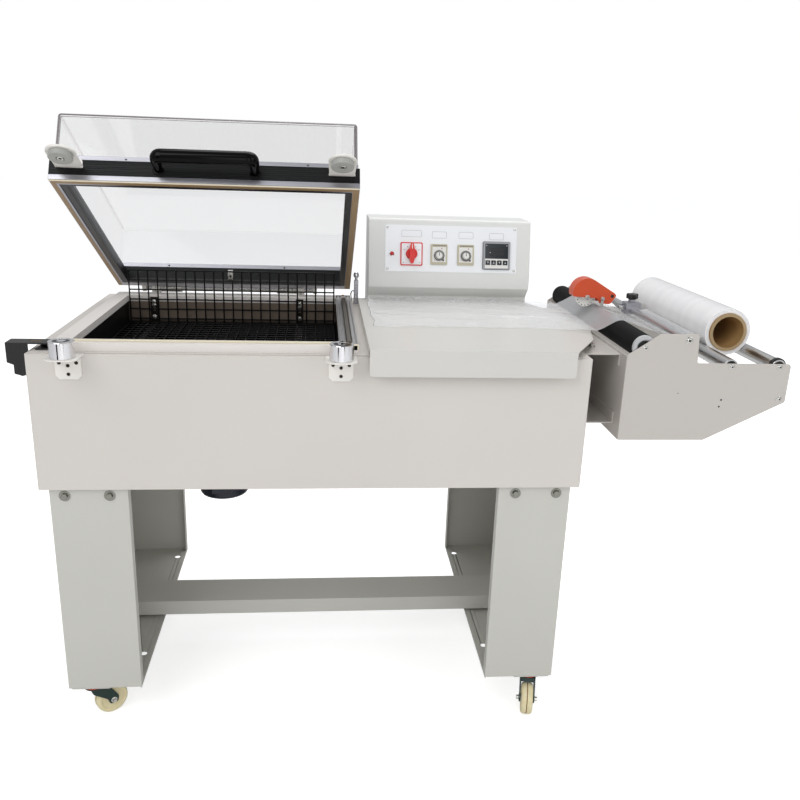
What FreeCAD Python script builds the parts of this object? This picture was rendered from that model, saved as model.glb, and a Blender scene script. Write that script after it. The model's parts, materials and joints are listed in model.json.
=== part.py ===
import FreeCAD, Part
import math
import os

# A shrink wrapping machine: a hinged clear hood over a heat chamber, a product table,
# a control box and a film unwinder, on two folded legs with castors. Millimetres, Z up.
# It is laid out with X=0 at the cabinet's left wall, Y=0 at its front wall and Z=0 on the
# floor, and is moved at export so that the middle of its base is the origin.

V = FreeCAD.Vector
X = V(1, 0, 0)
Y = V(0, 1, 0)
Z = V(0, 0, 1)

# Cabinet
cab_w = 1180.0
cab_d = 700.0
cab_bottom = 601.0
cab_h = 297.0
cab_sheet = 2.0
cab_flange = 20.0
cab_corner_r = 4.0
deck_t = 2.0
cab_top = cab_bottom + cab_h
deck_top = cab_top + deck_t
deck_front = 12.0
deck_side = 6.0
pan_t = 2.0
pan_gap = 0.8
back_open_margin = 70.0
back_cover_lap = 12.0
louvre_len = 70.0
louvre_h = 5.0
louvre_pitch = 22.0
louvre_rows = 5

# Legs and crossbar
leg_w = 165.0
leg_inset = 18.5
leg_front = 10.0
leg_back = 4.0
leg_y1 = cab_d - leg_back
leg_sheet = 3.0
leg_lip = 20.0
leg_foot_turn = 12.0
leg_bolt_from_outer = 32.0
leg_bolt_pitch = 94.0
leg_bolt_drop = 18.0
leg_tab_h = 38.0
foot_hole_r = 8.0
foot_hole_in = 143.5
foot_hole_front = 130.0
foot_hole_back = 56.0
bar_w = 112.0
bar_h = 40.0
bar_top = 150.0
bar_sheet = 2.0
bar_lip = 12.0

# Bolts and screws
bolt_head_r = 6.5
bolt_head_h = 5.5
bolt_washer_r = 12.0
bolt_washer_h = 1.6
screw_lap = 3.5
screw_h = 3.0

# Castors
wheel_r = 37.5
wheel_w = 28.0
wheel_axle_r = 4.0
castor_h = 97.0
castor_plate_x = 92.0
castor_plate_y = 60.0
castor_plate_t = 3.0
castor_trail = 36.0
castor_from_side = 68.0
castor_from_front = 41.0
race_r = 22.0
race_h = 7.0
kingpin_r = 5.0
kingnut_r = 8.0
kingnut_h = 5.0
swivel_gap = 0.3
axle_nut_r = 6.5
axle_nut_h = 4.5
cheek_gap = 1.5
tread_edge = 8.0
tread_drop = 4.0
crown_t = 4.0
cheek_t = 3.0
cheek_w = 18.0
crown_heel = 16.0
crown_toe = 12.0
castor_angles = (34.0, 15.0, 257.0, 140.0)

# Heat chamber
rim_x0 = 45.0
rim_x1 = 676.0
rim_y0 = 24.0
rim_from_back = 73.0
rim_y1 = cab_d - rim_from_back
rim_left = 35.0
rim_right = 40.0
rim_front = 36.0
rim_back = 51.0
rim_rise = 17.5
rim_top = deck_top + rim_rise
ch_x0 = rim_x0 + rim_left
ch_x1 = rim_x1 - rim_right
ch_y0 = rim_y0 + rim_front
ch_y1 = rim_y1 - rim_back
chamber_depth = 260.0
liner_t = 1.5
liner_bottom = deck_top - chamber_depth
liner_flange = 12.0
rail_w = 13.0
rail_h = 10.0
seal_w = 10.0
seal_h = 3.0
wire_r = 1.5
wire_pitch = 25.0
tray_drop = 50.5
tray_top = deck_top - tray_drop
tray_gap = 4.0
mesh_rise = 67.0
mesh_top = deck_top + mesh_rise
hanger_w = 20.0
hanger_t = 3.0
hanger_from_left = 68.0
hanger_from_right = 99.0
hanger_x = (ch_x0 + hanger_from_left, ch_x1 - hanger_from_right)
heater_r = 5.0
heater_rise = 95.0
heater_z = liner_bottom + heater_rise
heater_reach = 240.0
heater_pitch = 60.0
heater_stub = 16.0

# Fan
fan_x = 353.0
fan_y = 300.0
motor_r = 60.0
motor_h = 110.0
motor_drop = 41.0
motor_top = cab_bottom - motor_drop
motor_bottom = motor_top - motor_h
motor_edge = 8.0
motor_neck_r = 34.0
motor_flange_r = 75.0
motor_flange_t = 4.0
fan_shaft_r = 6.0
fan_hole_r = 10.0
impeller_r = 85.0
impeller_h = 30.0
impeller_rise = 20.0
impeller_z = liner_bottom + impeller_rise
blade_count = 8
blade_t = 2.0
blade_lean = 18.0
hub_r = 18.0

# Lid, laid out closed and then opened about its hinge
hinge_back = 25.0
hinge_rise = 27.0
hinge_y = rim_y1 + hinge_back
hinge_z = deck_top + hinge_rise
lid_open = 30.0
lid_rest = 4.0
lid_under = rim_top + lid_rest
ring_w = 30.0
ring_h = 11.0
bar_face_h = 34.0
bar_thick = 12.0
rear_bar_w = 8.0
side_bar_w = 10.0
strip_leaf = 15.0
strip_t = 2.0
hood_h = 158.5
hood_top = lid_under + hood_h
hood_wall = 5.0
hood_inset = 4.0
hood_rear_in = 15.0
hood_rear = rim_y1 - hood_rear_in
hood_r = 9.0
tape_t = 0.5
hinge_shaft_r = 8.0
hinge_from_left = 96.0
hinge_from_right = 137.0
hinge_x = (rim_x0 + hinge_from_left, rim_x1 - hinge_from_right)
bearing_w = 20.0
bearing_r = 16.0
bearing_foot_front = 18.0
bearing_foot_back = 30.0
bearing_foot_t = 7.0
arm_from_left = 59.0
arm_from_right = 102.0
arm_x = (rim_x0 + arm_from_left, rim_x1 - arm_from_right)
arm_w = 10.0
arm_r = 14.0
arm_lap = 10.0
arm_waist = 9.0
spring_len = 60.0
spring_r = 13.0
spring_play = 0.4
handle_pitch = 200.0
handle_r = 12.0
handle_reach = 47.0
handle_rise = 2.0
handle_bend = 19.0

# Holding magnets and clamps
magnet_from_left = 40.6
magnet_from_right = 37.6
magnet_x = (rim_x0 + magnet_from_left, rim_x1 - magnet_from_right)
magnet_y = -33.0
magnet_r = 25.0
magnet_h = 38.0
magnet_rise = 17.5
magnet_top = rim_top + magnet_rise
coil_ring = 8.0
coil_drop = 1.0
shelf_t = 4.0
shelf_w = 64.0
shelf_drop = 42.0
clamp_gap = 0.5
disc_r = 26.0
disc_t = 12.0
clamp_t = 4.0
clamp_end_r = 29.0
clamp_tab_w = 52.0

# Lid switch post
post_from_rim = 16.0
post_from_back = 27.0
post_x = rim_x1 + post_from_rim
post_y = rim_y1 - post_from_back
post_w = 12.0
post_rise = 65.0
post_top = deck_top + post_rise
dome_r = 8.0
dome_h = 15.0

# Product table
table_from_rim = 21.0
table_from_right = 40.0
table_x0 = rim_x1 + table_from_rim
table_x1 = cab_w - table_from_right
table_front = -25.0
table_rise = 20.0
table_top = deck_top + table_rise
table_t = 2.0
table_apron = 57.0
table_apron_r = 8.0
table_end_step = 2.0
table_wall_in = 6.0
flap_slope = 6.5
flap_reach = 124.0
flap_start = 3.0
flap_outline = ((0.69, 0.283), (1.0, 0.533), (1.0, 0.626), (0.62, 0.838), (0.18, 1.0))

# Control box
box_from_table = 25.0
box_from_right = 15.0
box_from_back = 8.0
box_deep = 147.0
box_undercut = 27.0
box_foot_h = 30.0
box_fold_rise = 57.0
box_fold_w = 35.0
box_face_rise = 146.0
box_x0 = table_x0 + box_from_table
box_x1 = cab_w - box_from_right
box_back = cab_d - box_from_back
box_front = box_back - box_deep
box_foot_y = box_front + box_undercut
box_foot_z = deck_top + box_foot_h
box_fold_low = deck_top + box_fold_rise
box_fold_high = box_fold_low + box_fold_w
box_top = box_fold_high + box_face_rise
table_to_box = 6.0
table_back = box_foot_y - table_to_box
box_edge_r = 10.0
face_tilt = 12.0
panel_left_in = 45.0
panel_right_in = 38.0
panel_x0 = box_x0 + panel_left_in
panel_x1 = box_x1 - panel_right_in
panel_low = 8.0
panel_high = 132.0
panel_t = 1.5
row_s = 55.0
lamp_in = 18.0
lamp_x = panel_x0 + lamp_in
lamp_r = 6.5
lamp_h = 7.0
switch_in = 71.0
switch_x = panel_x0 + switch_in
switch_w = 60.0
switch_h = 62.0
switch_knob_r = 15.5
switch_grip = 53.0
switch_disc_h = 8.0
switch_rise = 20.0
timer_in = 146.0
timer_pitch = 73.0
timer_x = (panel_x0 + timer_in, panel_x0 + timer_in + timer_pitch)
timer_w = 45.0
timer_h = 55.0
dial_r = 14.0
dial_h = 8.0
dial_drop = 3.0
dial_skirt = 3.0
dial_cap_r = 8.0
switch_plate_h = 4.0
timer_case_h = 5.0
ctl_case_h = 6.0
knob_lift = 0.4
ctl_in = 304.0
ctl_x = panel_x0 + ctl_in
ctl_w = 76.0
key_w = 12.0
key_h = 6.0
key_pitch = 16.0
key_travel = 1.0
key_play = 0.4
key_floor = 2.0
stem_r = 4.0
stem_play = 0.05

# Bracket at the left end
out_reach = 45.0
out_y0 = 28.0
out_y1 = 64.0
out_rise = 15.0
out_top = deck_top + out_rise
out_t = 3.0
out_drop1 = 47.0
out_drop2 = 66.0
out_step1 = out_top - out_drop1
out_step2 = out_top - out_drop2
out_slope = 5.0
out_notch = 32.0
out_foot = 30.5

# Film unwinder
un_front = 40.0
un_back = 715.0
un_t = 3.0
un_gap = 90.0
un_long = 385.0
un_drop = 200.0
un_wall_drop = 1.0
un_hump_in = 72.0
un_hump_w = 88.0
un_hump_rise = 48.0
un_rest_drop = 18.0
un_tip_h = 90.0
un_floor_w = 203.0
un_wall_step = 2.0
un_top_turn = 9.0
un_foot_turn = 40.0
un_x0 = cab_w + un_gap
un_x1 = un_x0 + un_long
un_bottom = deck_top - un_drop
un_wall_top = deck_top - un_wall_drop
un_hump_x0 = un_x0 + un_hump_in
un_hump_x1 = un_hump_x0 + un_hump_w
un_hump = deck_top + un_hump_rise
un_rest = deck_top - un_rest_drop
un_tip_low = un_rest - un_tip_h
un_floor_x = un_x0 + un_floor_w
feed_in = 39.0
feed_rise = 17.0
feed_x = un_x0 + feed_in
feed_z = un_wall_top + feed_rise
feed_r = 28.0
feed_shaft_r = 8.0
beam_in = 65.0
beam_drop = 14.0
beam_x = un_hump_x0 + beam_in
beam_z = un_hump - beam_drop
beam_r = 9.0
cradle_end = 27.0
cradle_pitch = 113.0
cradle_drop = 7.0
cradle_x = (un_x1 - cradle_end - cradle_pitch, un_x1 - cradle_end)
cradle_z = un_rest - cradle_drop
cradle_r = 16.0
cradle_shaft_r = 6.0
tie_end = 16.0
tie_rise = 8.0
tie_x = un_x1 - tie_end
tie_z = un_tip_low + tie_rise
tie_r = 7.0
film_r = 57.0
core_r = 46.0
core_bore_r = 38.0
core_proud = 4.0
roll_front_in = 150.0
roll_back_in = 35.0
roll_y0 = un_front + roll_front_in
roll_y1 = un_back - roll_back_in
link_drop = 7.0
link_rise = 27.0
link_top = un_wall_top - link_drop
link_low = un_bottom + link_rise
link_leaf = 27.0
link_y0 = 80.0
link_y1 = 620.0
link_t = 3.0

# Perforator
perf_y = 400.0
pin_wheel_r = 29.0
pin_wheel_w = 12.0
pin_axle_r = 4.0
pin_count = 16
pin_h = 2.5
pin_w = 3.0
pin_hub_r = 9.0
pin_hub_reach = 8.0
nip_gap = 1.8
nip_angle = 120.0
cover_w = 40.0
cover_t = 2.0
cover_nut_h = 4.0
cover_stud_r = 3.0
cover_stud_h = 5.0
cover_stud_x = 39.0
pivot_in = 34.0
pivot_drop = 8.0
pivot_x = un_hump_x0 + pivot_in
pivot_z = un_hump - pivot_drop
pivot_r = 4.0
clamp_w = 30.0
clamp_half = 20.0
clamp_low = 11.0
clamp_boss_r = 9.0
knob_r = 16.0
knob_h = 14.0
knob_rise = 28.0
knob_z = beam_z + knob_rise
knob_stud_r = 4.0
knob_stud_end = 4.0

# Film drawn over the flap and the table
web_t = 1.0
web_in = 10.0
web_from_edge = 19.0
web_y0 = roll_y0 + web_in
web_y1 = table_back - web_in
web_x0 = table_x0 + web_from_edge
web_clear = 0.4

# Clearances
run_play = 0.05
side_play = 0.5
fit_gap = 0.5

rim_low = deck_top + liner_t
wheel_z = wheel_r
face_c = math.cos(math.radians(face_tilt))
face_s = math.sin(math.radians(face_tilt))


def box(x0, x1, y0, y1, z0, z1):
    return Part.makeBox(x1 - x0, y1 - y0, z1 - z0, V(x0, y0, z0))


def rod(r, start, axis, length):
    return Part.makeCylinder(r, length, start, axis)


def tube(r_out, r_in, start, axis, length):
    return rod(r_out, start, axis, length).cut(rod(r_in, start, axis, length))


def prism(points, span):
    """Closed outline of points, pushed out along span."""
    wire = Part.makePolygon(list(points) + [points[0]])
    return Part.Face(wire).extrude(span)


def across(outline, x0, x1):
    """Outline of (y, z) pairs pushed from x0 to x1."""
    return prism([V(x0, y, z) for y, z in outline], V(x1 - x0, 0, 0))


def along(outline, y0, y1):
    """Outline of (x, z) pairs pushed from y0 to y1."""
    return prism([V(x, y0, z) for x, z in outline], V(0, y1 - y0, 0))


def upward(outline, z0, z1):
    """Outline of (x, y) pairs pushed from z0 to z1."""
    return prism([V(x, y, z0) for x, y in outline], V(0, 0, z1 - z0))


def round_box(x0, x1, y0, y1, z0, z1, r, axis="z"):
    """Box with the edges that run along one axis rounded."""
    body = box(x0, x1, y0, y1, z0, z1)
    index = "xyz".index(axis)
    edges = []
    for edge in body.Edges:
        a = edge.Vertexes[0].Point
        b = edge.Vertexes[1].Point
        if abs(b[index] - a[index]) > 1e-6:
            edges.append(edge)
    return body.makeFillet(r, edges)


def join(shapes):
    body = shapes[0].multiFuse(shapes[1:]) if len(shapes) > 1 else shapes[0]
    return body.removeSplitter()


def group(shapes):
    return Part.makeCompound(shapes)


def flats(r, sides, start, axis, length, turn=0.0):
    """Rod with flat sides that lie r from its middle, for wires and small fittings."""
    reach = r / math.cos(math.pi / sides)
    angles = [2 * math.pi * i / sides + math.radians(turn) for i in range(sides)]
    body = upward([(reach * math.cos(a), reach * math.sin(a)) for a in angles], 0, length)
    body.Placement = FreeCAD.Placement(start, FreeCAD.Rotation(Z, axis))
    return body


def turned(profile, sides, start, axis):
    """Body of revolution drawn with flat sides, for round shapes that run in no bore."""
    steps = [2 * math.pi * i / sides for i in range(sides + 1)]
    rings = [[V(r * math.cos(a), r * math.sin(a), h) for a in steps[:-1]] for r, h in profile]
    rings = [ring + ring[:1] for ring in rings]
    loops = [rings[0], rings[-1]]
    for low, high in zip(rings, rings[1:]):
        loops += [[low[i], low[i + 1], high[i + 1], high[i], low[i]] for i in range(sides)]
    body = Part.Solid(Part.Shell([Part.Face(Part.makePolygon(loop)) for loop in loops]))
    if body.Volume < 0:
        body.reverse()
    body.Placement = FreeCAD.Placement(start, FreeCAD.Rotation(Z, axis))
    return body


def spin(profile, start, axis):
    """Outline of (radius, height) pairs turned about axis, heights along it."""
    wire = Part.makePolygon([V(r, 0, h) for r, h in profile + profile[:1]])
    body = Part.Face(wire).revolve(V(0, 0, 0), Z, 360)
    body.Placement = FreeCAD.Placement(start, FreeCAD.Rotation(Z, axis))
    return body


def mirror_x(shape, middle):
    return shape.mirror(V(middle, 0, 0), X)


def opened(shape):
    """Turn a closed-lid shape to the rest pose, open about the hinge."""
    turned = shape.copy()
    turned.rotate(V(0, hinge_y, hinge_z), X, -lid_open)
    return turned


def on_face(shape):
    """Put a shape drawn as (x, up the face, out of the face) on the control box."""
    placed = shape.copy()
    seat = FreeCAD.Placement(V(0, box_front, box_fold_high), FreeCAD.Rotation(X, 90 - face_tilt))
    placed.Placement = seat.multiply(placed.Placement)
    return placed


def face_point(x, s, out):
    """A point on the control box face, in the machine's own coordinates."""
    return V(x, box_front + s * face_s - out * face_c, box_fold_high + s * face_c + out * face_s)


def cabinet_shell():
    inner = round_box(cab_sheet, cab_w - cab_sheet, cab_sheet, cab_d - cab_sheet,
                      cab_bottom - 1, cab_top - cab_sheet, cab_corner_r - cab_sheet)
    mouth = box(cab_flange, cab_w - cab_flange, cab_flange, cab_d - cab_flange, cab_bottom, cab_top + 1)
    shell = round_box(0, cab_w, 0, cab_d, cab_bottom, cab_top, cab_corner_r).cut(inner).cut(mouth)
    low = cab_bottom + back_open_margin / 2
    high = cab_top - back_open_margin / 2
    shell = shell.cut(box(back_open_margin, cab_w - back_open_margin, cab_d - cab_flange, cab_d + 1, low, high))
    cover = box(back_open_margin - back_cover_lap, cab_w - back_open_margin + back_cover_lap, cab_d,
                cab_d + cab_sheet, low - back_cover_lap, high + back_cover_lap)
    for middle in (cab_w * 0.25, cab_w * 0.75):
        for row in range(louvre_rows):
            z = low + back_open_margin / 2 + row * louvre_pitch
            cover = cover.cut(box(middle - louvre_len / 2, middle + louvre_len / 2, cab_d - 1,
                                  cab_d + cab_sheet + 1, z, z + louvre_h))
    return group([shell, cover])


def top_deck():
    deck = box(deck_side, cab_w - deck_side, deck_front, cab_d - deck_front, cab_top, deck_top)
    hole = box(ch_x0 - liner_t - fit_gap, ch_x1 + liner_t + fit_gap,
               ch_y0 - liner_t - fit_gap, ch_y1 + liner_t + fit_gap, cab_top - 1, deck_top + 1)
    return deck.cut(hole)


leg_x0 = leg_inset
leg_x1 = leg_inset + leg_w
leg_y0 = leg_front
leg_bolt_z = cab_bottom - leg_bolt_drop
leg_bolts = [leg_inset + leg_bolt_from_outer + leg_bolt_pitch * i for i in range(2)]
foot_hole_x = leg_x0 + foot_hole_in
foot_hole_y = (leg_y0 + foot_hole_front, leg_y1 - foot_hole_back)


def leg(mirrored):
    low = castor_h
    wall = box(leg_x0, leg_x1, leg_y0, leg_y1, low, cab_bottom)
    room = box(leg_x0 + leg_sheet, leg_x1 + 1, leg_y0 + leg_sheet, leg_y1 - leg_sheet,
               low + leg_sheet, cab_bottom + 1)
    lips = [box(leg_x1 - leg_sheet, leg_x1, leg_y0 + leg_sheet, leg_y0 + leg_sheet + leg_lip, low, cab_bottom),
            box(leg_x1 - leg_sheet, leg_x1, leg_y1 - leg_sheet - leg_lip, leg_y1 - leg_sheet, low, cab_bottom),
            box(leg_x1 - leg_sheet, leg_x1, leg_y0, leg_y1, low - leg_foot_turn, low + leg_sheet)]
    body = join([wall.cut(room)] + lips)
    for y in foot_hole_y:
        body = body.cut(rod(foot_hole_r, V(foot_hole_x, y, low - 1), Z, leg_sheet + 2))
    return mirror_x(body, cab_w / 2) if mirrored else body


def bottom_pan():
    edge = cab_sheet + pan_gap
    plate = box(edge, cab_w - edge, edge, cab_d - edge, cab_bottom, cab_bottom + pan_t)
    parts = [plate]
    for x0 in (leg_x0, cab_w - leg_x1):
        near = x0 + leg_sheet + 1.5
        far = x0 + leg_w - leg_sheet - 1.5
        for y0 in (leg_y0 + leg_sheet, leg_y1 - leg_sheet - pan_t):
            parts.append(box(near, far, y0, y0 + pan_t, cab_bottom - leg_tab_h, cab_bottom))
    pan = join(parts)
    return pan.cut(flats(fan_hole_r, 12, V(fan_x, fan_y, cab_bottom - 1), Z, pan_t + 2))


def crossbar():
    mid = (leg_y0 + leg_y1) / 2
    y0 = mid - bar_w / 2
    y1 = mid + bar_w / 2
    low = bar_top - bar_h
    x0 = leg_x0 + leg_sheet
    x1 = cab_w - x0
    outer = box(x0, x1, y0, y1, low, bar_top)
    room = box(x0 + bar_sheet, x1 - bar_sheet, y0 + bar_sheet, y1 - bar_sheet, low + bar_sheet, bar_top - bar_sheet)
    slot = box(x0 + bar_sheet, x1 - bar_sheet, y0 + bar_lip, y1 - bar_lip, low - 1, low + bar_sheet + 1)
    return outer.cut(room).cut(slot)


def hex_bolt(x, y, z, towards):
    """Washer and hex head, standing out along towards from (x, y, z)."""
    foot = V(x, y, z)
    washer = flats(bolt_washer_r, 12, foot, towards, bolt_washer_h)
    return join([washer, flats(bolt_head_r, 6, foot + towards * bolt_washer_h, towards, bolt_head_h)])


def castor_seats():
    xs = (castor_from_side, cab_w - castor_from_side)
    ys = (castor_from_front, leg_y0 + leg_y1 - castor_from_front)
    return [(x, y) for x in xs for y in ys]


race_low = castor_h - castor_plate_t - race_h
crown_top = race_low - swivel_gap
crown_low = crown_top - crown_t


def castor_plate(x, y):
    plate = box(x - castor_plate_x / 2, x + castor_plate_x / 2, y - castor_plate_y / 2,
                y + castor_plate_y / 2, castor_h - castor_plate_t, castor_h)
    race = flats(race_r, 12, V(x, y, race_low), Z, race_h)
    pin = turned([(kingpin_r, 0), (kingpin_r, crown_t + 2 * swivel_gap)], 12, V(x, y, crown_low - swivel_gap), Z)
    nut = flats(kingnut_r, 6, V(x, y, crown_low - swivel_gap - kingnut_h), Z, kingnut_h)
    return join([plate, race, pin, nut])


def castor_fork(x, y, angle):
    """Crown with two cheeks and the wheel's axle bolt, drawn trailing along +X, then turned."""
    gap = wheel_w / 2 + cheek_gap
    far = gap + cheek_t
    toe = castor_trail - crown_toe
    crown = flats(race_r, 12, V(0, 0, crown_low), Z, crown_t)
    bridge = box(-crown_heel, toe, -far, far, crown_low, crown_top)
    body = crown.fuse(bridge).cut(flats(kingpin_r + run_play, 12, V(0, 0, crown_low - 1), Z, crown_t + 2))
    side = [(-crown_heel, crown_top), (toe, crown_top), (castor_trail + cheek_w * 0.7, wheel_z + cheek_w / 3),
            (castor_trail + cheek_w / 2, wheel_z - cheek_w / 2), (castor_trail - cheek_w / 2, wheel_z - cheek_w / 2)]
    cheeks = [along(side, y0, y0 + cheek_t) for y0 in (-far, gap)]
    axle = turned([(wheel_axle_r, 0), (wheel_axle_r, 2 * gap)], 12, V(castor_trail, -gap, wheel_z), Y)
    nuts = [flats(axle_nut_r, 6, V(castor_trail, y0, wheel_z), Y, axle_nut_h) for y0 in (-far - axle_nut_h, far)]
    fork = join([body, axle] + cheeks + nuts)
    fork.rotate(V(0, 0, 0), Z, angle)
    fork.translate(V(x, y, 0))
    return fork


def castor_wheel(x, y, angle):
    half = wheel_w / 2
    profile = [(wheel_r - tread_drop, -half), (wheel_r, tread_edge - half), (wheel_r, half - tread_edge),
               (wheel_r - tread_drop, half)]
    body = turned(profile, 28, V(castor_trail, 0, wheel_z), Y)
    body = body.cut(flats(wheel_axle_r + run_play, 12, V(castor_trail, -half - 1, wheel_z), Y, wheel_w + 2))
    body.rotate(V(0, 0, 0), Z, angle)
    body.translate(V(x, y, 0))
    return body


def chamber_liner():
    outer = box(ch_x0 - liner_t, ch_x1 + liner_t, ch_y0 - liner_t, ch_y1 + liner_t, liner_bottom, deck_top)
    room = box(ch_x0, ch_x1, ch_y0, ch_y1, liner_bottom + liner_t, rim_low + 1)
    flange = box(ch_x0 - liner_flange, ch_x1 + liner_flange, ch_y0 - liner_flange, ch_y1 + liner_flange,
                 deck_top, rim_low)
    body = outer.fuse(flange).cut(room)
    body = body.cut(rod(fan_shaft_r + 4, V(fan_x, fan_y, liner_bottom - 1), Z, liner_t + 2))
    for y in heater_ys():
        body = body.cut(flats(heater_r + run_play, 6, V(ch_x0 - liner_t - 1, y, heater_z), X, liner_t + 2))
    return body


def chamber_rim():
    outer = round_box(rim_x0, rim_x1, rim_y0, rim_y1, deck_top, rim_top, 3)
    body = outer.cut(box(ch_x0, ch_x1, ch_y0, ch_y1, deck_top - 1, rim_top + 1))
    lap = liner_flange + fit_gap
    body = body.cut(box(ch_x0 - lap, ch_x1 + lap, ch_y0 - lap, ch_y1 + lap, deck_top - 1, rim_low))
    return body.cut(box(ch_x1 - 1, rim_x1 + 1, ch_y0 - 20, ch_y1 + 14, rim_top - rail_h, rim_top + 1))


rail_y0 = ch_y0 - 20
rail_y1 = ch_y1 + 14


def side_seal_rails():
    """Two rails with a groove between them, and the block that closes each end."""
    low = rim_top - rail_h
    parts = []
    for x in (ch_x1 + 0.5, rim_x1 - rail_w):
        rail = box(x, x + rail_w, rail_y0 + 12, rail_y1 - 12, low, rim_top)
        rail = rail.cut(box(x + rail_w * 0.35, x + rail_w * 0.65, rail_y0, rail_y1, rim_top - 2, rim_top + 1))
        parts.append(rail)
    for y in (rail_y0, rail_y1 - 12):
        parts.append(box(ch_x1 + 0.5, rim_x1, y, y + 12, low, rim_top + 2))
    return group(parts)


def seal_strips():
    mid_y = (rim_y0 + ch_y0) / 2
    front = box(rim_x0 + 4, ch_x1 - 4, mid_y - seal_w / 2, mid_y + seal_w / 2, rim_top, rim_top + seal_h)
    mid_x = (ch_x1 + 0.5 + rim_x1) / 2
    side = box(mid_x - seal_w / 2 + fit_gap, mid_x + seal_w / 2 - fit_gap, rail_y0 + 14, rail_y1 - 14,
               rim_top - rail_h, rim_top + seal_h)
    return group([front, side])


def counted(low, high, pitch):
    """Evenly spaced places between two ends, at about the pitch given."""
    steps = max(1, int(round((high - low) / pitch)))
    return [low + (high - low) * i / steps for i in range(steps + 1)]


def wire(start, axis, length):
    """Wire drawn with few flats, turned so that a flat face meets the wires that cross it."""
    return flats(wire_r, 4, start, axis, length, 45.0)


def tray_grid():
    x0 = ch_x0 + tray_gap
    x1 = ch_x1 - tray_gap
    y0 = ch_y0 + tray_gap
    y1 = ch_y1 - 14
    low = tray_top - 3 * wire_r
    wires = [wire(V(x0, y, low), X, x1 - x0) for y in counted(y0 + wire_r, y1 - wire_r, wire_pitch)]
    wires += [wire(V(x, y0, low + 2 * wire_r), Y, y1 - y0) for x in counted(x0 + wire_r, x1 - wire_r, wire_pitch)]
    return group(wires)


def rear_mesh():
    x0 = ch_x0 + tray_gap
    x1 = ch_x1 - tray_gap
    y = ch_y1 - hanger_t - wire_r
    low = tray_top - wire_r
    wires = [wire(V(x0, y, z), X, x1 - x0) for z in counted(low + 8, mesh_top - wire_r, wire_pitch)]
    wires += [wire(V(x, y - 2 * wire_r, low), Z, mesh_top - low)
              for x in counted(x0 + wire_r, x1 - wire_r, wire_pitch)]
    return group(wires)


def mesh_hangers():
    """Two slotted strips bolted to the rear wall, turned forward under the tray."""
    low = tray_top - 4 * wire_r - hanger_t
    strips = []
    for x in hanger_x:
        riser = box(x - hanger_w / 2, x + hanger_w / 2, ch_y1 - hanger_t, ch_y1, low, rim_top - 4)
        for z in counted(low + 20, rim_top - 16, 20):
            riser = riser.cut(box(x - 3, x + 3, ch_y1 - hanger_t - 1, ch_y1 + 1, z - 5, z + 5))
        shelf = box(x - hanger_w / 2, x + hanger_w / 2, ch_y0, ch_y1, low, low + hanger_t)
        front = box(x - hanger_w / 2, x + hanger_w / 2, ch_y0, ch_y0 + hanger_t, low - 18, low)
        strips.append(join([riser, shelf, front]))
    return strips


def heater_ys():
    mid = (ch_y0 + ch_y1) / 2
    return [mid + side * (heater_reach / 2 + k * heater_pitch) for side in (-1, 1) for k in (0, 1)]


def heater_tubes():
    """Two hairpin tubes, each with both ends through the left wall."""
    ys = heater_ys()
    start_x = ch_x0 - heater_stub
    end_x = ch_x1 - heater_stub
    tubes = []
    for a, b in (sorted(ys[:2]), sorted(ys[2:])):
        runs = [flats(heater_r, 6, V(start_x, y, heater_z), X, end_x - start_x) for y in (a, b)]
        bend = flats(heater_r, 6, V(end_x - heater_r, a, heater_z), Y, b - a)
        tubes.append(join(runs + [bend]))
    return group(tubes)


def fan_motor():
    flange_low = cab_bottom - motor_flange_t
    profile = [(motor_r - motor_edge, 0), (motor_r, motor_edge), (motor_r, motor_h)]
    body = turned(profile, 20, V(fan_x, fan_y, motor_bottom), Z)
    neck = flats(motor_neck_r, 12, V(fan_x, fan_y, motor_top), Z, flange_low - motor_top)
    flange = flats(motor_flange_r, 12, V(fan_x, fan_y, flange_low), Z, motor_flange_t)
    body = join([body, neck, flange])
    return body.cut(rod(fan_shaft_r + run_play, V(fan_x, fan_y, motor_top), Z, cab_bottom - motor_top + 1))


def fan_impeller():
    shaft_low = motor_top + 0.3
    parts = [rod(fan_shaft_r, V(fan_x, fan_y, shaft_low), Z, impeller_z + impeller_h + 6 - shaft_low),
             flats(hub_r, 8, V(fan_x, fan_y, impeller_z), Z, impeller_h),
             flats(impeller_r, 20, V(fan_x, fan_y, impeller_z), Z, blade_t)]
    for i in range(blade_count):
        blade = box(hub_r - 6, impeller_r - 4, -blade_t / 2, blade_t / 2, impeller_z, impeller_z + impeller_h)
        blade.rotate(V(hub_r, 0, 0), Z, blade_lean)
        blade.rotate(V(0, 0, 0), Z, 360.0 / blade_count * i)
        blade.translate(V(fan_x, fan_y, 0))
        parts.append(blade)
    return join(parts)


# Lid pieces, all drawn closed
ring_top = lid_under + ring_h
black_top = ring_top + bar_face_h
hood_x0 = rim_x0 + hood_inset
hood_x1 = rim_x1 - hood_inset
hood_y0 = rim_y0 + bar_thick


def lid_frame():
    ring = round_box(rim_x0, rim_x1, rim_y0, rim_y1, lid_under, ring_top, 3)
    ring = ring.cut(box(rim_x0 + ring_w, rim_x1 - ring_w, rim_y0 + ring_w, rim_y1 - ring_w,
                        lid_under - 1, ring_top + 1))
    low = black_top
    front = join([box(rim_x0 + 3, rim_x1 - 3, hood_y0 - strip_t, hood_y0, low, low + strip_leaf),
                  box(rim_x0 + 3, rim_x1 - 3, rim_y0, hood_y0, low, low + strip_t)])
    parts = [ring, front]
    for x0 in (hood_x0 - strip_t, hood_x1):
        parts.append(box(x0, x0 + strip_t, hood_y0 + 4, hood_rear, ring_top, ring_top + strip_leaf))
    parts.append(box(hood_x0 - strip_t, hood_x1 + strip_t, hood_rear, hood_rear + strip_t,
                     ring_top, ring_top + strip_leaf))
    return opened(group(parts))


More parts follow.
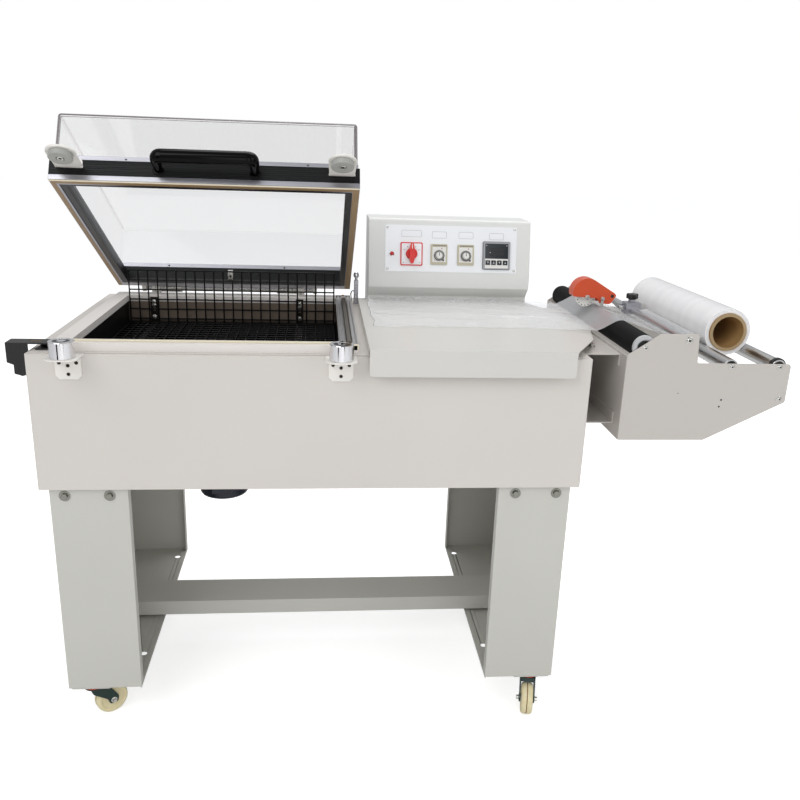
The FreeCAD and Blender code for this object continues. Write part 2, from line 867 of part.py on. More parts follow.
def lid_bars():
    """Bars over the ring: one in front of the hood and three inside its other walls."""
    front = box(rim_x0, rim_x1, rim_y0, hood_y0, ring_top, black_top)
    inner = hood_rear - hood_wall
    rear = box(hood_x0 + hood_wall, hood_x1 - hood_wall, inner - rear_bar_w, inner, ring_top, black_top)
    sides = [box(x, x + side_bar_w, hood_y0 + hood_wall, inner - rear_bar_w, ring_top, black_top)
             for x in (hood_x0 + hood_wall, hood_x1 - hood_wall - side_bar_w)]
    return opened(group([front, rear] + sides))


def lid_hood():
    outer = box(hood_x0, hood_x1, hood_y0, hood_rear, ring_top, hood_top)
    outer = outer.makeFillet(hood_r, [e for e in outer.Edges if min(v.Point.z for v in e.Vertexes) > hood_top - 1])
    inner = box(hood_x0 + hood_wall, hood_x1 - hood_wall, hood_y0 + hood_wall, hood_rear - hood_wall,
                ring_top - 1, hood_top - hood_wall)
    return opened(outer.cut(inner))


def lid_handle():
    """U-shaped bar with rounded shoulders, its feet on the black front bar."""
    mid = (rim_x0 + rim_x1) / 2
    z = (ring_top + black_top) / 2 + handle_rise
    reach = handle_pitch / 2 + handle_r
    near = rim_y0 - handle_reach - handle_r
    body = box(mid - reach, mid + reach, near, rim_y0, z - handle_r, z + handle_r)
    gap = reach - 2 * handle_r
    body = body.cut(box(mid - gap, mid + gap, near + 2 * handle_r, rim_y0 + 1, z - handle_r - 1, z + handle_r + 1))
    upright = [e for e in body.Edges if abs(e.Vertexes[0].Point.z - e.Vertexes[1].Point.z) > handle_r
               and max(v.Point.y for v in e.Vertexes) < near + 1]
    body = body.makeChamfer(handle_bend, upright)
    long_edges = [e for e in body.Edges if abs(e.Vertexes[0].Point.z - e.Vertexes[1].Point.z) < fit_gap
                  and min(v.Point.y for v in e.Vertexes) < rim_y0 - 1]
    return opened(body.makeChamfer(handle_r * 0.55, long_edges))


def lid_tape():
    """Anti-stick tape under the ring, on the bars that meet the seal."""
    z0 = lid_under - tape_t
    front = box(rim_x0 + 1, rim_x1 - 1, rim_y0 + 1, rim_y0 + ring_w - 1, z0, lid_under)
    sides = [box(x, x + ring_w - 2, rim_y0 + ring_w - 1, rim_y1 - 4, z0, lid_under)
             for x in (rim_x0 + 1, rim_x1 - ring_w + 1)]
    return opened(group([join([front] + sides)]))


def clamp_brackets():
    low = magnet_top + clamp_gap + disc_t
    plates = []
    for x in magnet_x:
        plate = join([rod(clamp_end_r, V(x, magnet_y, low), Z, clamp_t),
                      box(x - clamp_end_r, x + clamp_end_r, magnet_y, rim_y0, low, low + clamp_t)])
        tab = box(x - clamp_tab_w / 2, x + clamp_tab_w / 2, rim_y0 - clamp_t, rim_y0, low, black_top)
        plates.append(join([plate, tab]))
    return opened(group(plates))


def armature_discs():
    low = magnet_top + clamp_gap
    return opened(group([flats(disc_r, 28, V(x, magnet_y, low), Z, disc_t) for x in magnet_x]))


def hinge_shaft():
    """Shaft through both bearings, with the two arms that carry the lid."""
    start = arm_x[0]
    length = arm_x[1] + arm_w - start
    parts = [rod(hinge_shaft_r, V(start, hinge_y, hinge_z), X, length)]
    for x in arm_x:
        foot_y = hood_rear + strip_t + 1
        outline = [(foot_y, ring_top), (rim_y1, ring_top), (hinge_y, hinge_z - arm_waist),
                   (hinge_y + arm_waist, hinge_z), (hinge_y, hinge_z + arm_r - 1), (foot_y, ring_top + arm_lap)]
        parts.append(across(outline, x, x + arm_w))
        parts.append(flats(arm_r, 12, V(x, hinge_y, hinge_z), X, arm_w))
    return opened(join(parts))


def hinge_bearings():
    blocks = []
    for x in hinge_x:
        x0 = x - bearing_w / 2
        foot = box(x0, x0 + bearing_w, hinge_y - bearing_foot_front, hinge_y + bearing_foot_back,
                   deck_top, deck_top + bearing_foot_t)
        stem = box(x0, x0 + bearing_w, hinge_y - bearing_r, hinge_y + bearing_r, deck_top, hinge_z)
        head = flats(bearing_r, 16, V(x0, hinge_y, hinge_z), X, bearing_w)
        bore = rod(hinge_shaft_r + run_play, V(x0 - 1, hinge_y, hinge_z), X, bearing_w + 2)
        blocks.append(join([foot, stem, head]).cut(bore))
    return group(blocks)


def lid_springs():
    """Torsion springs on the hinge shaft, each drawn as the sleeve that its coils fill."""
    starts = (hinge_x[0] + bearing_w / 2 + spring_play, hinge_x[1] - bearing_w / 2 - spring_play - spring_len)
    return group([flats(spring_r, 12, V(x, hinge_y, hinge_z), X, spring_len)
                  .cut(flats(hinge_shaft_r + spring_play, 12, V(x, hinge_y, hinge_z), X, spring_len)) for x in starts])


def magnets():
    """Pot magnets, each with its coil's face a little below the rim."""
    low = magnet_top - magnet_h
    pots = []
    for x in magnet_x:
        pot = flats(magnet_r, 28, V(x, magnet_y, low), Z, magnet_h)
        face = flats(magnet_r - coil_ring, 16, V(x, magnet_y, magnet_top - coil_drop), Z, coil_drop + 1)
        pots.append(pot.cut(face))
    return group(pots)


def magnet_brackets():
    top = magnet_top - magnet_h
    half = shelf_w / 2
    front = magnet_y - magnet_r - 2
    parts = []
    for x in magnet_x:
        outline = [(x - half, 0), (x + half, 0), (x + half, front + 12), (x + half - 12, front),
                   (x - half + 12, front), (x - half, front + 12)]
        shelf = upward(outline, top - shelf_t, top)
        plate = box(x - half, x + half, -shelf_t, 0, top - shelf_drop, top)
        for side in (-1, 1):
            cut = prism([V(x + side * half, -shelf_t - 1, top - shelf_drop),
                         V(x + side * (half - 10), -shelf_t - 1, top - shelf_drop),
                         V(x + side * half, -shelf_t - 1, top - shelf_drop + 10)], V(0, shelf_t + 2, 0))
            plate = plate.cut(cut)
        parts.append(join([shelf, plate]))
    return group(parts)


def product_table():
    """Folded table top with an apron in front, feet flanges and the sloping film flap."""
    low = deck_top
    top = box(table_x0, table_x1, table_front, table_back, table_top - table_t, table_top)
    far = table_x1 - table_end_step
    apron = box(table_x0, far, table_front, table_front + table_t, table_top - table_apron, table_top)
    corners = [e for e in apron.Edges
               if abs(e.Vertexes[0].Point.y - e.Vertexes[1].Point.y) > 1
               and max(v.Point.z for v in e.Vertexes) < table_top - 1]
    apron = apron.makeFillet(table_apron_r, corners)
    near = deck_front + table_wall_in
    left = box(table_x0, table_x0 + table_t, near, table_back, low, table_top)
    back = box(table_x0, table_x1, table_back - table_t, table_back, low, table_top)
    right = box(far - table_t, far, near, table_back, low, table_top)
    depth = table_back - table_front
    edge = [V(flap_reach * out, table_front + depth * back, 0) for out, back in flap_outline]
    outline = [V(0, table_front + flap_start, 0)] + edge + [V(0, table_back, 0)]
    flap = prism(outline, V(0, 0, -table_t))
    flap.rotate(V(0, 0, 0), Y, flap_slope)
    flap.translate(V(table_x1, 0, table_top))
    return join([top, apron, left, back, right, flap])


def control_box():
    outline = [(box_foot_y, deck_top), (box_foot_y, box_foot_z), (box_front, box_fold_low),
               (box_front, box_fold_high),
               (box_front + (box_top - box_fold_high) * face_s / face_c, box_top),
               (box_back, box_top), (box_back, deck_top)]
    body = across(outline, box_x0, box_x1)
    edges = [e for e in body.Edges
             if abs(e.Vertexes[0].Point.x - e.Vertexes[1].Point.x) > 1
             and min(v.Point.z for v in e.Vertexes) > box_top - 1
             and max(v.Point.y for v in e.Vertexes) < box_back - 1]
    return body.makeFillet(box_edge_r, edges)


def control_panel():
    plate = box(panel_x0, panel_x1, panel_low, panel_high, 0, panel_t)
    return on_face(plate)


def panel_instruments():
    """Lamp, switch plate, timer cases and the controller's case, each seated on the plate."""
    low = panel_t
    lamp = turned([(lamp_r, 0), (lamp_r, lamp_h - 2), (lamp_r - 3, lamp_h)], 12, V(lamp_x, row_s, low), Z)
    plate = box(switch_x - switch_w / 2, switch_x + switch_w / 2, row_s - switch_h / 2, row_s + switch_h / 2,
                low, low + switch_plate_h)
    plate = plate.cut(rod(stem_r + stem_play, V(switch_x, row_s, low), Z, 5))
    parts = [lamp, plate]
    for x in timer_x:
        case = box(x - timer_w / 2, x + timer_w / 2, row_s - timer_h / 2, row_s + timer_h / 2,
                   low, low + timer_case_h)
        parts.append(case.cut(rod(stem_r + stem_play, V(x, row_s - dial_drop, low), Z, timer_case_h + 1)))
    half = ctl_w / 2
    case = box(ctl_x - half, ctl_x + half, row_s - half, row_s + half, low, low + ctl_case_h)
    case = case.cut(box(ctl_x - half + 6, ctl_x + half - 6, row_s - 2, row_s + half - 7,
                        low + ctl_case_h - 1, low + ctl_case_h + 1))
    for x in key_xs():
        case = case.cut(box(x - key_w / 2 - key_play, x + key_w / 2 + key_play, key_s - key_h / 2 - key_play,
                            key_s + key_h / 2 + key_play, low + key_floor, low + ctl_case_h + 1))
    parts.append(case)
    return on_face(group(parts))


key_s = row_s - ctl_w / 2 + 15


def key_xs():
    return [ctl_x + key_pitch * (i - 1.5) for i in range(4)]


def controller_key(index):
    x = key_xs()[index]
    low = panel_t + key_floor + key_travel + fit_gap
    return on_face(box(x - key_w / 2, x + key_w / 2, key_s - key_h / 2, key_s + key_h / 2,
                       low, panel_t + ctl_case_h + key_travel + fit_gap))


def switch_knob():
    low = panel_t + switch_plate_h + knob_lift
    disc = flats(switch_knob_r, 16, V(switch_x, row_s, low), Z, switch_disc_h)
    half = switch_grip / 2
    outline = [(switch_x - 4, row_s - half), (switch_x + 4, row_s - half), (switch_x + 6.5, row_s - half * 0.5),
               (switch_x + 6.5, row_s + half * 0.5), (switch_x + 4, row_s + half), (switch_x - 4, row_s + half),
               (switch_x - 6.5, row_s + half * 0.5), (switch_x - 6.5, row_s - half * 0.5)]
    grip = upward(outline, low + switch_disc_h / 2, low + switch_rise)
    stem = rod(stem_r, V(switch_x, row_s, panel_t + knob_lift), Z, low - panel_t)
    return on_face(join([disc, grip, stem]))


def timer_dial(x):
    low = panel_t + timer_case_h + knob_lift
    s = row_s - dial_drop
    profile = [(dial_r, 0), (dial_r, dial_skirt), (dial_cap_r, dial_h)]
    disc = turned(profile, 16, V(x, s, low), Z)
    stem = rod(stem_r, V(x, s, panel_t + knob_lift), Z, low - panel_t)
    ridge = box(x - 1, x + 1, s, s + dial_cap_r, low + dial_skirt, low + dial_h + 1)
    return on_face(join([disc, stem, ridge]))


def left_bracket():
    """Black stepped bracket that reaches out past the left wall."""
    inner = rim_x0 - fit_gap
    plate = box(-out_reach, inner, out_y0, out_y1, out_top - out_t, out_top)
    foot = box(inner - out_foot, inner, out_y1 - out_t, out_y1, deck_top, out_top)
    lug = box(inner - out_foot, inner, out_y0, out_y1, deck_top, deck_top + out_t)
    outline = [(-out_reach, out_top), (-fit_gap, out_top), (-fit_gap, out_step2), (-out_notch / 2, out_step2 - out_slope),
               (-out_notch, out_step2), (-out_notch, out_step1), (-out_reach, out_step1 + out_slope)]
    web = along(outline, out_y0, out_y0 + out_t)
    end = box(-out_reach, -out_reach + out_t, out_y0, out_y1, out_step1 + out_slope, out_top)
    body = join([plate, foot, lug, web, end])
    mid = (out_y0 + out_y1) / 2
    return body.cut(box(-4, 22, mid + 2, mid + 10, out_top - out_t - 1, out_top + 1))


def unwinder_outline():
    return [(un_x0, un_wall_top), (un_hump_x0, un_hump), (un_hump_x1, un_hump), (un_hump_x1 + 4, un_rest),
            (un_x1, un_rest), (un_x1, un_tip_low), (un_floor_x, un_bottom), (un_x0, un_bottom)]


def unwinder_ends():
    """Places where the shafts and rods end at the side plates: x, z and screw radius."""
    return [(feed_x, feed_z, 3.0), (beam_x, beam_z, 5.0), (cradle_x[0], cradle_z, 3.0),
            (cradle_x[1], cradle_z, 3.0), (tie_x, tie_z, 3.0)]


def unwinder_frame():
    plates = [along(unwinder_outline(), y, y + un_t) for y in (un_front, un_back - un_t)]
    inner = (un_front + un_t, un_back - un_t)
    wall_top = un_wall_top - un_wall_step
    wall = join([box(un_x0, un_x0 + un_t, *inner, un_bottom, wall_top),
                 box(un_x0, un_x0 + un_top_turn, *inner, wall_top - un_t, wall_top),
                 box(un_x0, un_x0 + un_foot_turn, *inner, un_bottom, un_bottom + un_t)])
    upper = join([box(cab_w, un_x0, link_y0, link_y1, link_top - link_t, link_top),
                  box(cab_w, cab_w + link_t, link_y0, link_y1, link_top - link_leaf, link_top),
                  box(un_x0 - link_t, un_x0, link_y0, link_y1, link_top - link_leaf, link_top)])
    lower = join([box(cab_w, un_x0, link_y0, link_y1, link_low, link_low + link_t),
                  box(cab_w, cab_w + link_t, link_y0, link_y1, link_low, link_low + 3 * link_leaf),
                  box(un_x0 - link_t, un_x0, link_y0, link_y1, link_low, link_low + link_leaf)])
    return group(plates + [wall, upper, lower])


def unwinder_shafts():
    """Dead shafts and rods between the side plates."""
    y0 = un_front + un_t
    length = un_back - un_t - y0
    sizes = (feed_shaft_r, beam_r, cradle_shaft_r, cradle_shaft_r)
    rods = [rod(r, V(x, y0, z), Y, length) for (x, z, _), r in zip(unwinder_ends(), sizes)]
    rods.append(flats(tie_r, 6, V(tie_x, y0, tie_z), Y, length))
    return group(rods)


def roller(x, z, r, shaft_r):
    """Turning tube on its shaft, between the side plates."""
    y0 = un_front + un_t + side_play
    return tube(r, shaft_r + run_play, V(x, y0, z), Y, un_back - un_t - side_play - y0)


film_x = (cradle_x[0] + cradle_x[1]) / 2
roll_reach = film_r + cradle_r + 0.3
film_z = cradle_z + math.sqrt(roll_reach ** 2 - ((cradle_x[1] - cradle_x[0]) / 2) ** 2)


def film_core():
    length = roll_y1 - roll_y0 + 2 * core_proud
    start = V(film_x, roll_y0 - core_proud, film_z)
    return flats(core_r, 32, start, Y, length).cut(rod(core_bore_r, start, Y, length))


def film_roll():
    start = V(film_x, roll_y0, film_z)
    length = roll_y1 - roll_y0
    return turned([(film_r, 0), (film_r, length)], 48, start, Y).cut(flats(core_r, 32, start, Y, length))


nip = feed_r + pin_wheel_r + nip_gap
pin_x = feed_x + nip * math.cos(math.radians(nip_angle))
pin_z = feed_z + nip * math.sin(math.radians(nip_angle))


def pin_wheel():
    """Ring of pins on a hub, turning on the axle in the cover."""
    y0 = perf_y - pin_wheel_w / 2
    outline = []
    for i in range(pin_count):
        for step, r in ((0.0, pin_wheel_r), (0.18, pin_wheel_r - pin_h), (0.82, pin_wheel_r - pin_h)):
            a = 2 * math.pi * (i + step) / pin_count
            outline.append((pin_x + r * math.cos(a), pin_z + r * math.sin(a)))
    teeth = along(outline, perf_y - pin_w / 2, perf_y + pin_w / 2)
    ring = flats(pin_wheel_r - pin_h - 1, 16, V(pin_x, y0, pin_z), Y, pin_wheel_w)
    hub = flats(pin_hub_r, 8, V(pin_x, y0 - pin_hub_reach, pin_z), Y, pin_wheel_w + 2 * pin_hub_reach)
    bore = rod(pin_axle_r + run_play, V(pin_x, y0 - pin_hub_reach - 1, pin_z), Y,
               pin_wheel_w + 2 * pin_hub_reach + 2)
    return join([teeth, ring, hub]).cut(bore)


def cover_outline():
    """Side of the guard as (x, z): round over the wheel, sloping down to the pivot."""
    over_wheel = [(-38, 14), (-36, 24), (-27, 37), (-10, 44), (13, 41), (70, 2)]
    at_pivot = [(7, 5), (5, -7), (-7, -6)]
    under = [(56, -13), (34, -15)]
    return ([(pin_x + x, pin_z + z) for x, z in over_wheel] + [(pivot_x + x, pivot_z + z) for x, z in at_pivot]
            + [(pin_x + x, pin_z + z) for x, z in under])


def perforator_cover():
    """Folded guard: two cheeks and a skin over the top, with the wheel's axle across."""
    y0 = perf_y - cover_w / 2
    y1 = perf_y + cover_w / 2
    outline = cover_outline()
    cheeks = [along(outline, y, y + cover_t) for y in (y0, y1 - cover_t)]
    skins = []
    for (xa, za), (xb, zb) in zip(outline[:6], outline[1:6]):
        length = math.hypot(xb - xa, zb - za)
        nx = (zb - za) / length * cover_t
        nz = -(xb - xa) / length * cover_t
        skins.append(along([(xa, za), (xb, zb), (xb + nx, zb + nz), (xa + nx, za + nz)], y0, y1))
    body = join(cheeks + skins)
    body = body.cut(rod(pivot_r + run_play, V(pivot_x, y0 - 1, pivot_z), Y, cover_w + 2))
    axle = rod(pin_axle_r, V(pin_x, y0 + cover_t, pin_z), Y, cover_w - 2 * cover_t)
    nuts = [flats(pin_axle_r + 1, 6, V(pin_x, y, pin_z), Y, cover_nut_h) for y in (y0 - cover_nut_h, y1)]
    stud = flats(cover_stud_r, 6, V(pin_x + cover_stud_x, y0 - cover_stud_h, pin_z - 2), Y, cover_stud_h)
    return join([body, axle, stud] + nuts)


def perforator_clamp():
    """Block that grips the cross bar, with the ear and pin on which the guard swings."""
    y0 = perf_y - clamp_w / 2
    y1 = perf_y + clamp_w / 2
    block = box(beam_x - clamp_half, beam_x + clamp_half, y0, y1, beam_z - clamp_low, beam_z + clamp_half)
    ear = box(pivot_x - 6, beam_x - clamp_half + 4, perf_y - 8, perf_y + 8, pivot_z - 6, pivot_z + 6)
    pin = rod(pivot_r, V(pivot_x, perf_y - cover_w / 2 - 2, pivot_z), Y, cover_w + 4)
    boss = flats(clamp_boss_r, 12, V(beam_x, perf_y, beam_z + clamp_half), Z, knob_z - fit_gap - beam_z - clamp_half)
    body = join([block, ear, pin, boss])
    body = body.cut(flats(beam_r, 12, V(beam_x, y0 - 1, beam_z), Y, clamp_w + 2))
    return body.cut(rod(knob_stud_r + run_play, V(beam_x, perf_y, beam_z + beam_r + knob_stud_end),
                        Z, knob_z - beam_z))


def clamp_knob():
    """Five-lobed knob with its stud."""
    low = knob_z
    outline = []
    for i in range(5):
        for step, r in ((-0.22, knob_r - 1), (0.0, knob_r), (0.22, knob_r - 1), (0.5, knob_r - 5)):
            a = 2 * math.pi * (i + step) / 5
            outline.append((beam_x + r * math.cos(a), perf_y + r * math.sin(a)))
    body = upward(outline, low, low + knob_h)
    stud_low = beam_z + beam_r + knob_stud_end + fit_gap
    stud = rod(knob_stud_r, V(beam_x, perf_y, stud_low), Z, low - stud_low + 1)
    return join([body, stud])


def film_web():
    """The drawn film as one thin sheet: table, flap, over the roller, under the bar to the roll."""
    low = feed_r + web_clear
    high = low + web_t
    a0 = math.radians(72)
    a1 = math.radians(nip_angle)

    def on_roller(r, a):
        return V(feed_x + r * math.cos(a), web_y0, feed_z + r * math.sin(a))

    run = 50.0
    table_z = table_top + web_clear

    def chain(r, lift):
        first = on_roller(r, a0)
        mid = on_roller(r, (a0 + a1) / 2)
        last = on_roller(r, a1)
        knee = last + V(-run * math.sin(a1), 0, run * math.cos(a1))
        edge = V(table_x1 - 4, web_y0, table_z + lift)
        end = V(web_x0, web_y0, table_z + lift)
        under = V(beam_x, web_y0, beam_z - 20 + lift)
        out = V(cradle_x[0] - 24, web_y0, cradle_z + cradle_r + 12 + lift)
        return first, mid, last, knee, edge, end, under, out

    f, m, l, k, e, n, u, o = chain(low, 0.0)
    f2, m2, l2, k2, e2, n2, u2, o2 = chain(high, web_t)
    edges = [Part.makeLine(o, u), Part.makeLine(u, f), Part.Arc(f, m, l).toShape(), Part.makeLine(l, k),
             Part.makeLine(k, e), Part.makeLine(e, n), Part.makeLine(n, n2), Part.makeLine(n2, e2),
             Part.makeLine(e2, k2), Part.makeLine(k2, l2), Part.Arc(l2, m2, f2).toShape(),
             Part.makeLine(f2, u2), Part.makeLine(u2, o2), Part.makeLine(o2, o)]
    return Part.Face(Part.Wire(edges)).extrude(V(0, web_y1 - web_y0, 0))


def steel_fittings():
    """Bolts, screws, castor plates, mesh hangers and the lid switch post."""
    parts = [castor_plate(x, y) for x, y in castor_seats()]
    parts += mesh_hangers()
    for x in leg_bolts + [cab_w - i for i in leg_bolts]:
        parts.append(hex_bolt(x, leg_y0, leg_bolt_z, -Y))
        parts.append(hex_bolt(x, leg_y1, leg_bolt_z, Y))
    half = post_w / 2
    post = box(post_x - half, post_x + half, post_y - half, post_y + half, deck_top, post_top)
    neck = flats(dome_r / 2, 8, V(post_x, post_y, post_top), Z, dome_r)
    dome = flats(dome_r, 12, V(post_x, post_y, post_top + dome_r), Z, dome_h)
    parts.append(join([post, neck, dome]))
    for x, z, r in unwinder_ends():
        parts.append(flats(r + screw_lap, 8, V(x, un_front, z), -Y, screw_h))
        parts.append(flats(r + screw_lap, 8, V(x, un_back, z), Y, screw_h))
    return group(parts)


castor_names = ("front_left", "rear_left", "front_right", "rear_right")


def nodes():
    """Every node of the machine, by name, in the layout's own coordinates."""
    made = {
        "cabinet_shell": cabinet_shell(),
        "top_deck": top_deck(),
        "bottom_pan": bottom_pan(),
        "legs": group([leg(False), leg(True)]),
        "crossbar": crossbar(),
        "steel_fittings": steel_fittings(),
        "chamber_liner": chamber_liner(),
        "chamber_rim": chamber_rim(),
        "side_seal_rails": side_seal_rails(),
        "seal_strips": seal_strips(),
        "tray_grid": tray_grid(),
        "rear_mesh": rear_mesh(),
        "heater_tubes": heater_tubes(),
        "fan_motor": fan_motor(),
        "fan_impeller": fan_impeller(),
        "lid_frame": lid_frame(),
        "lid_bars": lid_bars(),
        "lid_hood": lid_hood(),
        "lid_handle": lid_handle(),
        "lid_tape": lid_tape(),
        "clamp_brackets": clamp_brackets(),
        "armature_discs": armature_discs(),
        "hinge_shaft": hinge_shaft(),
        "hinge_bearings": hinge_bearings(),
        "lid_springs": lid_springs(),
        "holding_magnets": magnets(),
        "magnet_brackets": magnet_brackets(),
        "product_table": product_table(),
        "control_box": control_box(),
        "control_panel": control_panel(),
        "panel_instruments": panel_instruments(),
        "switch_knob": switch_knob(),
        "left_bracket": left_bracket(),
        "unwinder_frame": unwinder_frame(),
        "unwinder_shafts": unwinder_shafts(),
        "feed_roller": roller(feed_x, feed_z, feed_r, feed_shaft_r),
        "film_core": film_core(),
        "film_roll": film_roll(),
        "pin_wheel": pin_wheel(),
        "perforator_cover": perforator_cover(),
        "perforator_clamp": perforator_clamp(),
        "clamp_knob": clamp_knob(),
        "film_web": film_web(),
    }
    for i, x in enumerate(timer_x):
        made["timer_dial_%d" % (i + 1)] = timer_dial(x)
    for i in range(4):
        made["controller_key_%d" % (i + 1)] = controller_key(i)
    for i, x in enumerate(cradle_x):
        made["cradle_roller_%d" % (i + 1)] = roller(x, cradle_z, cradle_r, cradle_shaft_r)
    for name, (x, y), angle in zip(castor_names, castor_seats(), castor_angles):
        made["castor_fork_" + name] = castor_fork(x, y, angle)
        made["castor_wheel_" + name] = castor_wheel(x, y, angle)
    return made


def base_shift(made):
    """Move that puts the middle of the machine's base at the origin."""
    bounds = group(list(made.values())).optimalBoundingBox(False, False)
    return V(-(bounds.XMin + bounds.XMax) / 2, -(bounds.YMin + bounds.YMax) / 2, -bounds.ZMin)


def build():
    made = nodes()
    shift = base_shift(made)
    os.makedirs("parts", exist_ok=True)
    for name, shape in made.items():
        moved = shape.copy()
        moved.translate(shift)
        moved.exportStep(os.path.join("parts", name + ".step"))
    print("nodes", len(made), "shift", shift)


build()
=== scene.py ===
import bpy
import bmesh
import json
import math
import random
from mathutils import Matrix, Quaternion, Vector, noise


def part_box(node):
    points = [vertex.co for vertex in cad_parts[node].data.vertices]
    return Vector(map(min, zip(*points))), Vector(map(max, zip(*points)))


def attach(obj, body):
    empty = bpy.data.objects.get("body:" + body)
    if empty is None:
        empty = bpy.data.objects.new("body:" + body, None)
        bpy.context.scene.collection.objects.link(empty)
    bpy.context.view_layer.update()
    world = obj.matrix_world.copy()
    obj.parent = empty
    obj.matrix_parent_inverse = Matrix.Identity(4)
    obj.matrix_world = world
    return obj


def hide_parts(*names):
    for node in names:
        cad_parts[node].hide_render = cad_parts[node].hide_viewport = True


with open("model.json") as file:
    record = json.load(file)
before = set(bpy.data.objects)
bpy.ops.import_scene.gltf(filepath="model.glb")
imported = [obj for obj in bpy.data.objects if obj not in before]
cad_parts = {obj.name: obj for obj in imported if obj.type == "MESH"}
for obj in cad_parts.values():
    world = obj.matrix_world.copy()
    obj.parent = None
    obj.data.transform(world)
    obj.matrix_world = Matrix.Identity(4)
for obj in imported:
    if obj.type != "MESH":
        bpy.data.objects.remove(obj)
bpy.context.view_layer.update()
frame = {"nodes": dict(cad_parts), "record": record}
nodes = frame["nodes"]
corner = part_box("cabinet_shell")[0]    # the cabinet's low front left corner, where the layout starts
scene = bpy.context.scene
layout = Matrix.Translation((corner.x, corner.y, 0)) @ Matrix.Scale(0.001, 4)    # layout mm to frame metres


# ---- small tools: every length handed to them is in millimetres ----

def at(x, y, z):
    return layout @ Vector((x, y, z))


def hexColour(code):
    parts = [int(code[i:i + 2], 16) / 255 for i in (1, 3, 5)]
    return tuple(c / 12.92 if c <= 0.04045 else ((c + 0.055) / 1.055) ** 2.4 for c in parts) + (1.0,)


def perMetre(size):
    return 1000.0 / size    # a pattern's repeats in a metre, from its real size


def addNode(tree, kind, settings=None, links=None):
    node = tree.nodes.new(kind)
    for key, value in (settings or {}).items():
        if isinstance(key, int) or key in node.inputs:
            node.inputs[key].default_value = value
        else:
            setattr(node, key, value)
    for key, socket in (links or {}).items():
        tree.links.new(socket, node.inputs[key])
    return node


def startMaterial(name, colour, roughness, metallic=0.0, **sockets):
    material = bpy.data.materials.new(name)
    material.use_nodes = True
    tree = material.node_tree
    shader = tree.nodes["Principled BSDF"]
    shader.inputs["Base Color"].default_value = hexColour(colour)
    shader.inputs["Roughness"].default_value = roughness
    shader.inputs["Metallic"].default_value = metallic
    for key, value in sockets.items():
        shader.inputs[key.replace("_", " ")].default_value = value
    where = addNode(tree, "ShaderNodeTexCoord").outputs["Object"]
    return material, tree, shader, where


def along(axis, start):
    """Matrix that stands a piece drawn up +Z on start, pointing along axis."""
    turn = Vector((0, 0, 1)).rotation_difference(Vector(axis).normalized())
    return layout @ Matrix.Translation(start) @ turn.to_matrix().to_4x4()


def addFace(work, verts, skin):
    face = work.faces.new(verts)
    face.material_index = skin
    return face


def addOutline(work, points, depth, place=layout, skin=0):
    """Outline in x and y, pushed up by depth."""
    low = [work.verts.new(place @ Vector((x, y, 0))) for x, y in points]
    high = [work.verts.new(place @ Vector((x, y, depth))) for x, y in points]
    addFace(work, low[::-1], skin)
    addFace(work, high, skin)
    for i in range(len(points)):
        j = (i + 1) % len(points)
        addFace(work, [low[i], low[j], high[j], high[i]], skin)


def addBlock(work, x0, x1, y0, y1, z0, z1, place=layout, skin=0):
    addOutline(work, [(x0, y0), (x1, y0), (x1, y1), (x0, y1)], z1 - z0, place @ Matrix.Translation((0, 0, z0)), skin)


def addTurned(work, profile, place=layout, skin=0, steps=48, skins=None):
    """Profile of (radius, height) pairs turned about the piece's own Z."""
    rings = []
    for r, h in profile:
        if r < 1e-6:
            rings.append([work.verts.new(place @ Vector((0, 0, h)))])
        else:
            rings.append([work.verts.new(place @ Vector((r * math.cos(2 * math.pi * i / steps),
                                                         r * math.sin(2 * math.pi * i / steps), h)))
                          for i in range(steps)])
    closed = len(rings[0]) > 1 and len(rings[-1]) > 1
    pairs = [(k, k + 1) for k in range(len(rings) - 1)] + ([(len(rings) - 1, 0)] if closed else [])
    for k, (a, b) in enumerate(pairs):
        tone = skins[k] if skins else skin
        low, high = rings[a], rings[b]
        for i in range(steps):
            j = (i + 1) % steps
            ring = [low[i % len(low)], low[j % len(low)], high[j % len(high)], high[i % len(high)]]
            ring = [v for n, v in enumerate(ring) if v not in ring[:n]]
            if len(ring) > 2:
                addFace(work, ring, tone)


def addTube(work, path, radius, place=layout, skin=0, ring=10, closed=False):
    """Round rod along a path of points."""
    points = [place @ Vector(p) for p in path]
    size = radius * 0.001
    count = len(points)
    loops = []
    side = None
    for i, p in enumerate(points):
        before = points[(i - 1) % count] if closed or i else p
        after = points[(i + 1) % count] if closed or i < count - 1 else p
        ahead = (after - before).normalized()
        if side is None:
            side = ahead.orthogonal().normalized()
        side = (side - ahead * side.dot(ahead)).normalized()
        up = ahead.cross(side)
        loops.append([work.verts.new(p + side * size * math.cos(2 * math.pi * k / ring)
                                     + up * size * math.sin(2 * math.pi * k / ring)) for k in range(ring)])
    for i in range(count if closed else count - 1):
        a, b = loops[i], loops[(i + 1) % count]
        for k in range(ring):
            n = (k + 1) % ring
            addFace(work, [a[k], a[n], b[n], b[k]], skin)
    if not closed:
        addFace(work, loops[0][::-1], skin)
        addFace(work, loops[-1], skin)


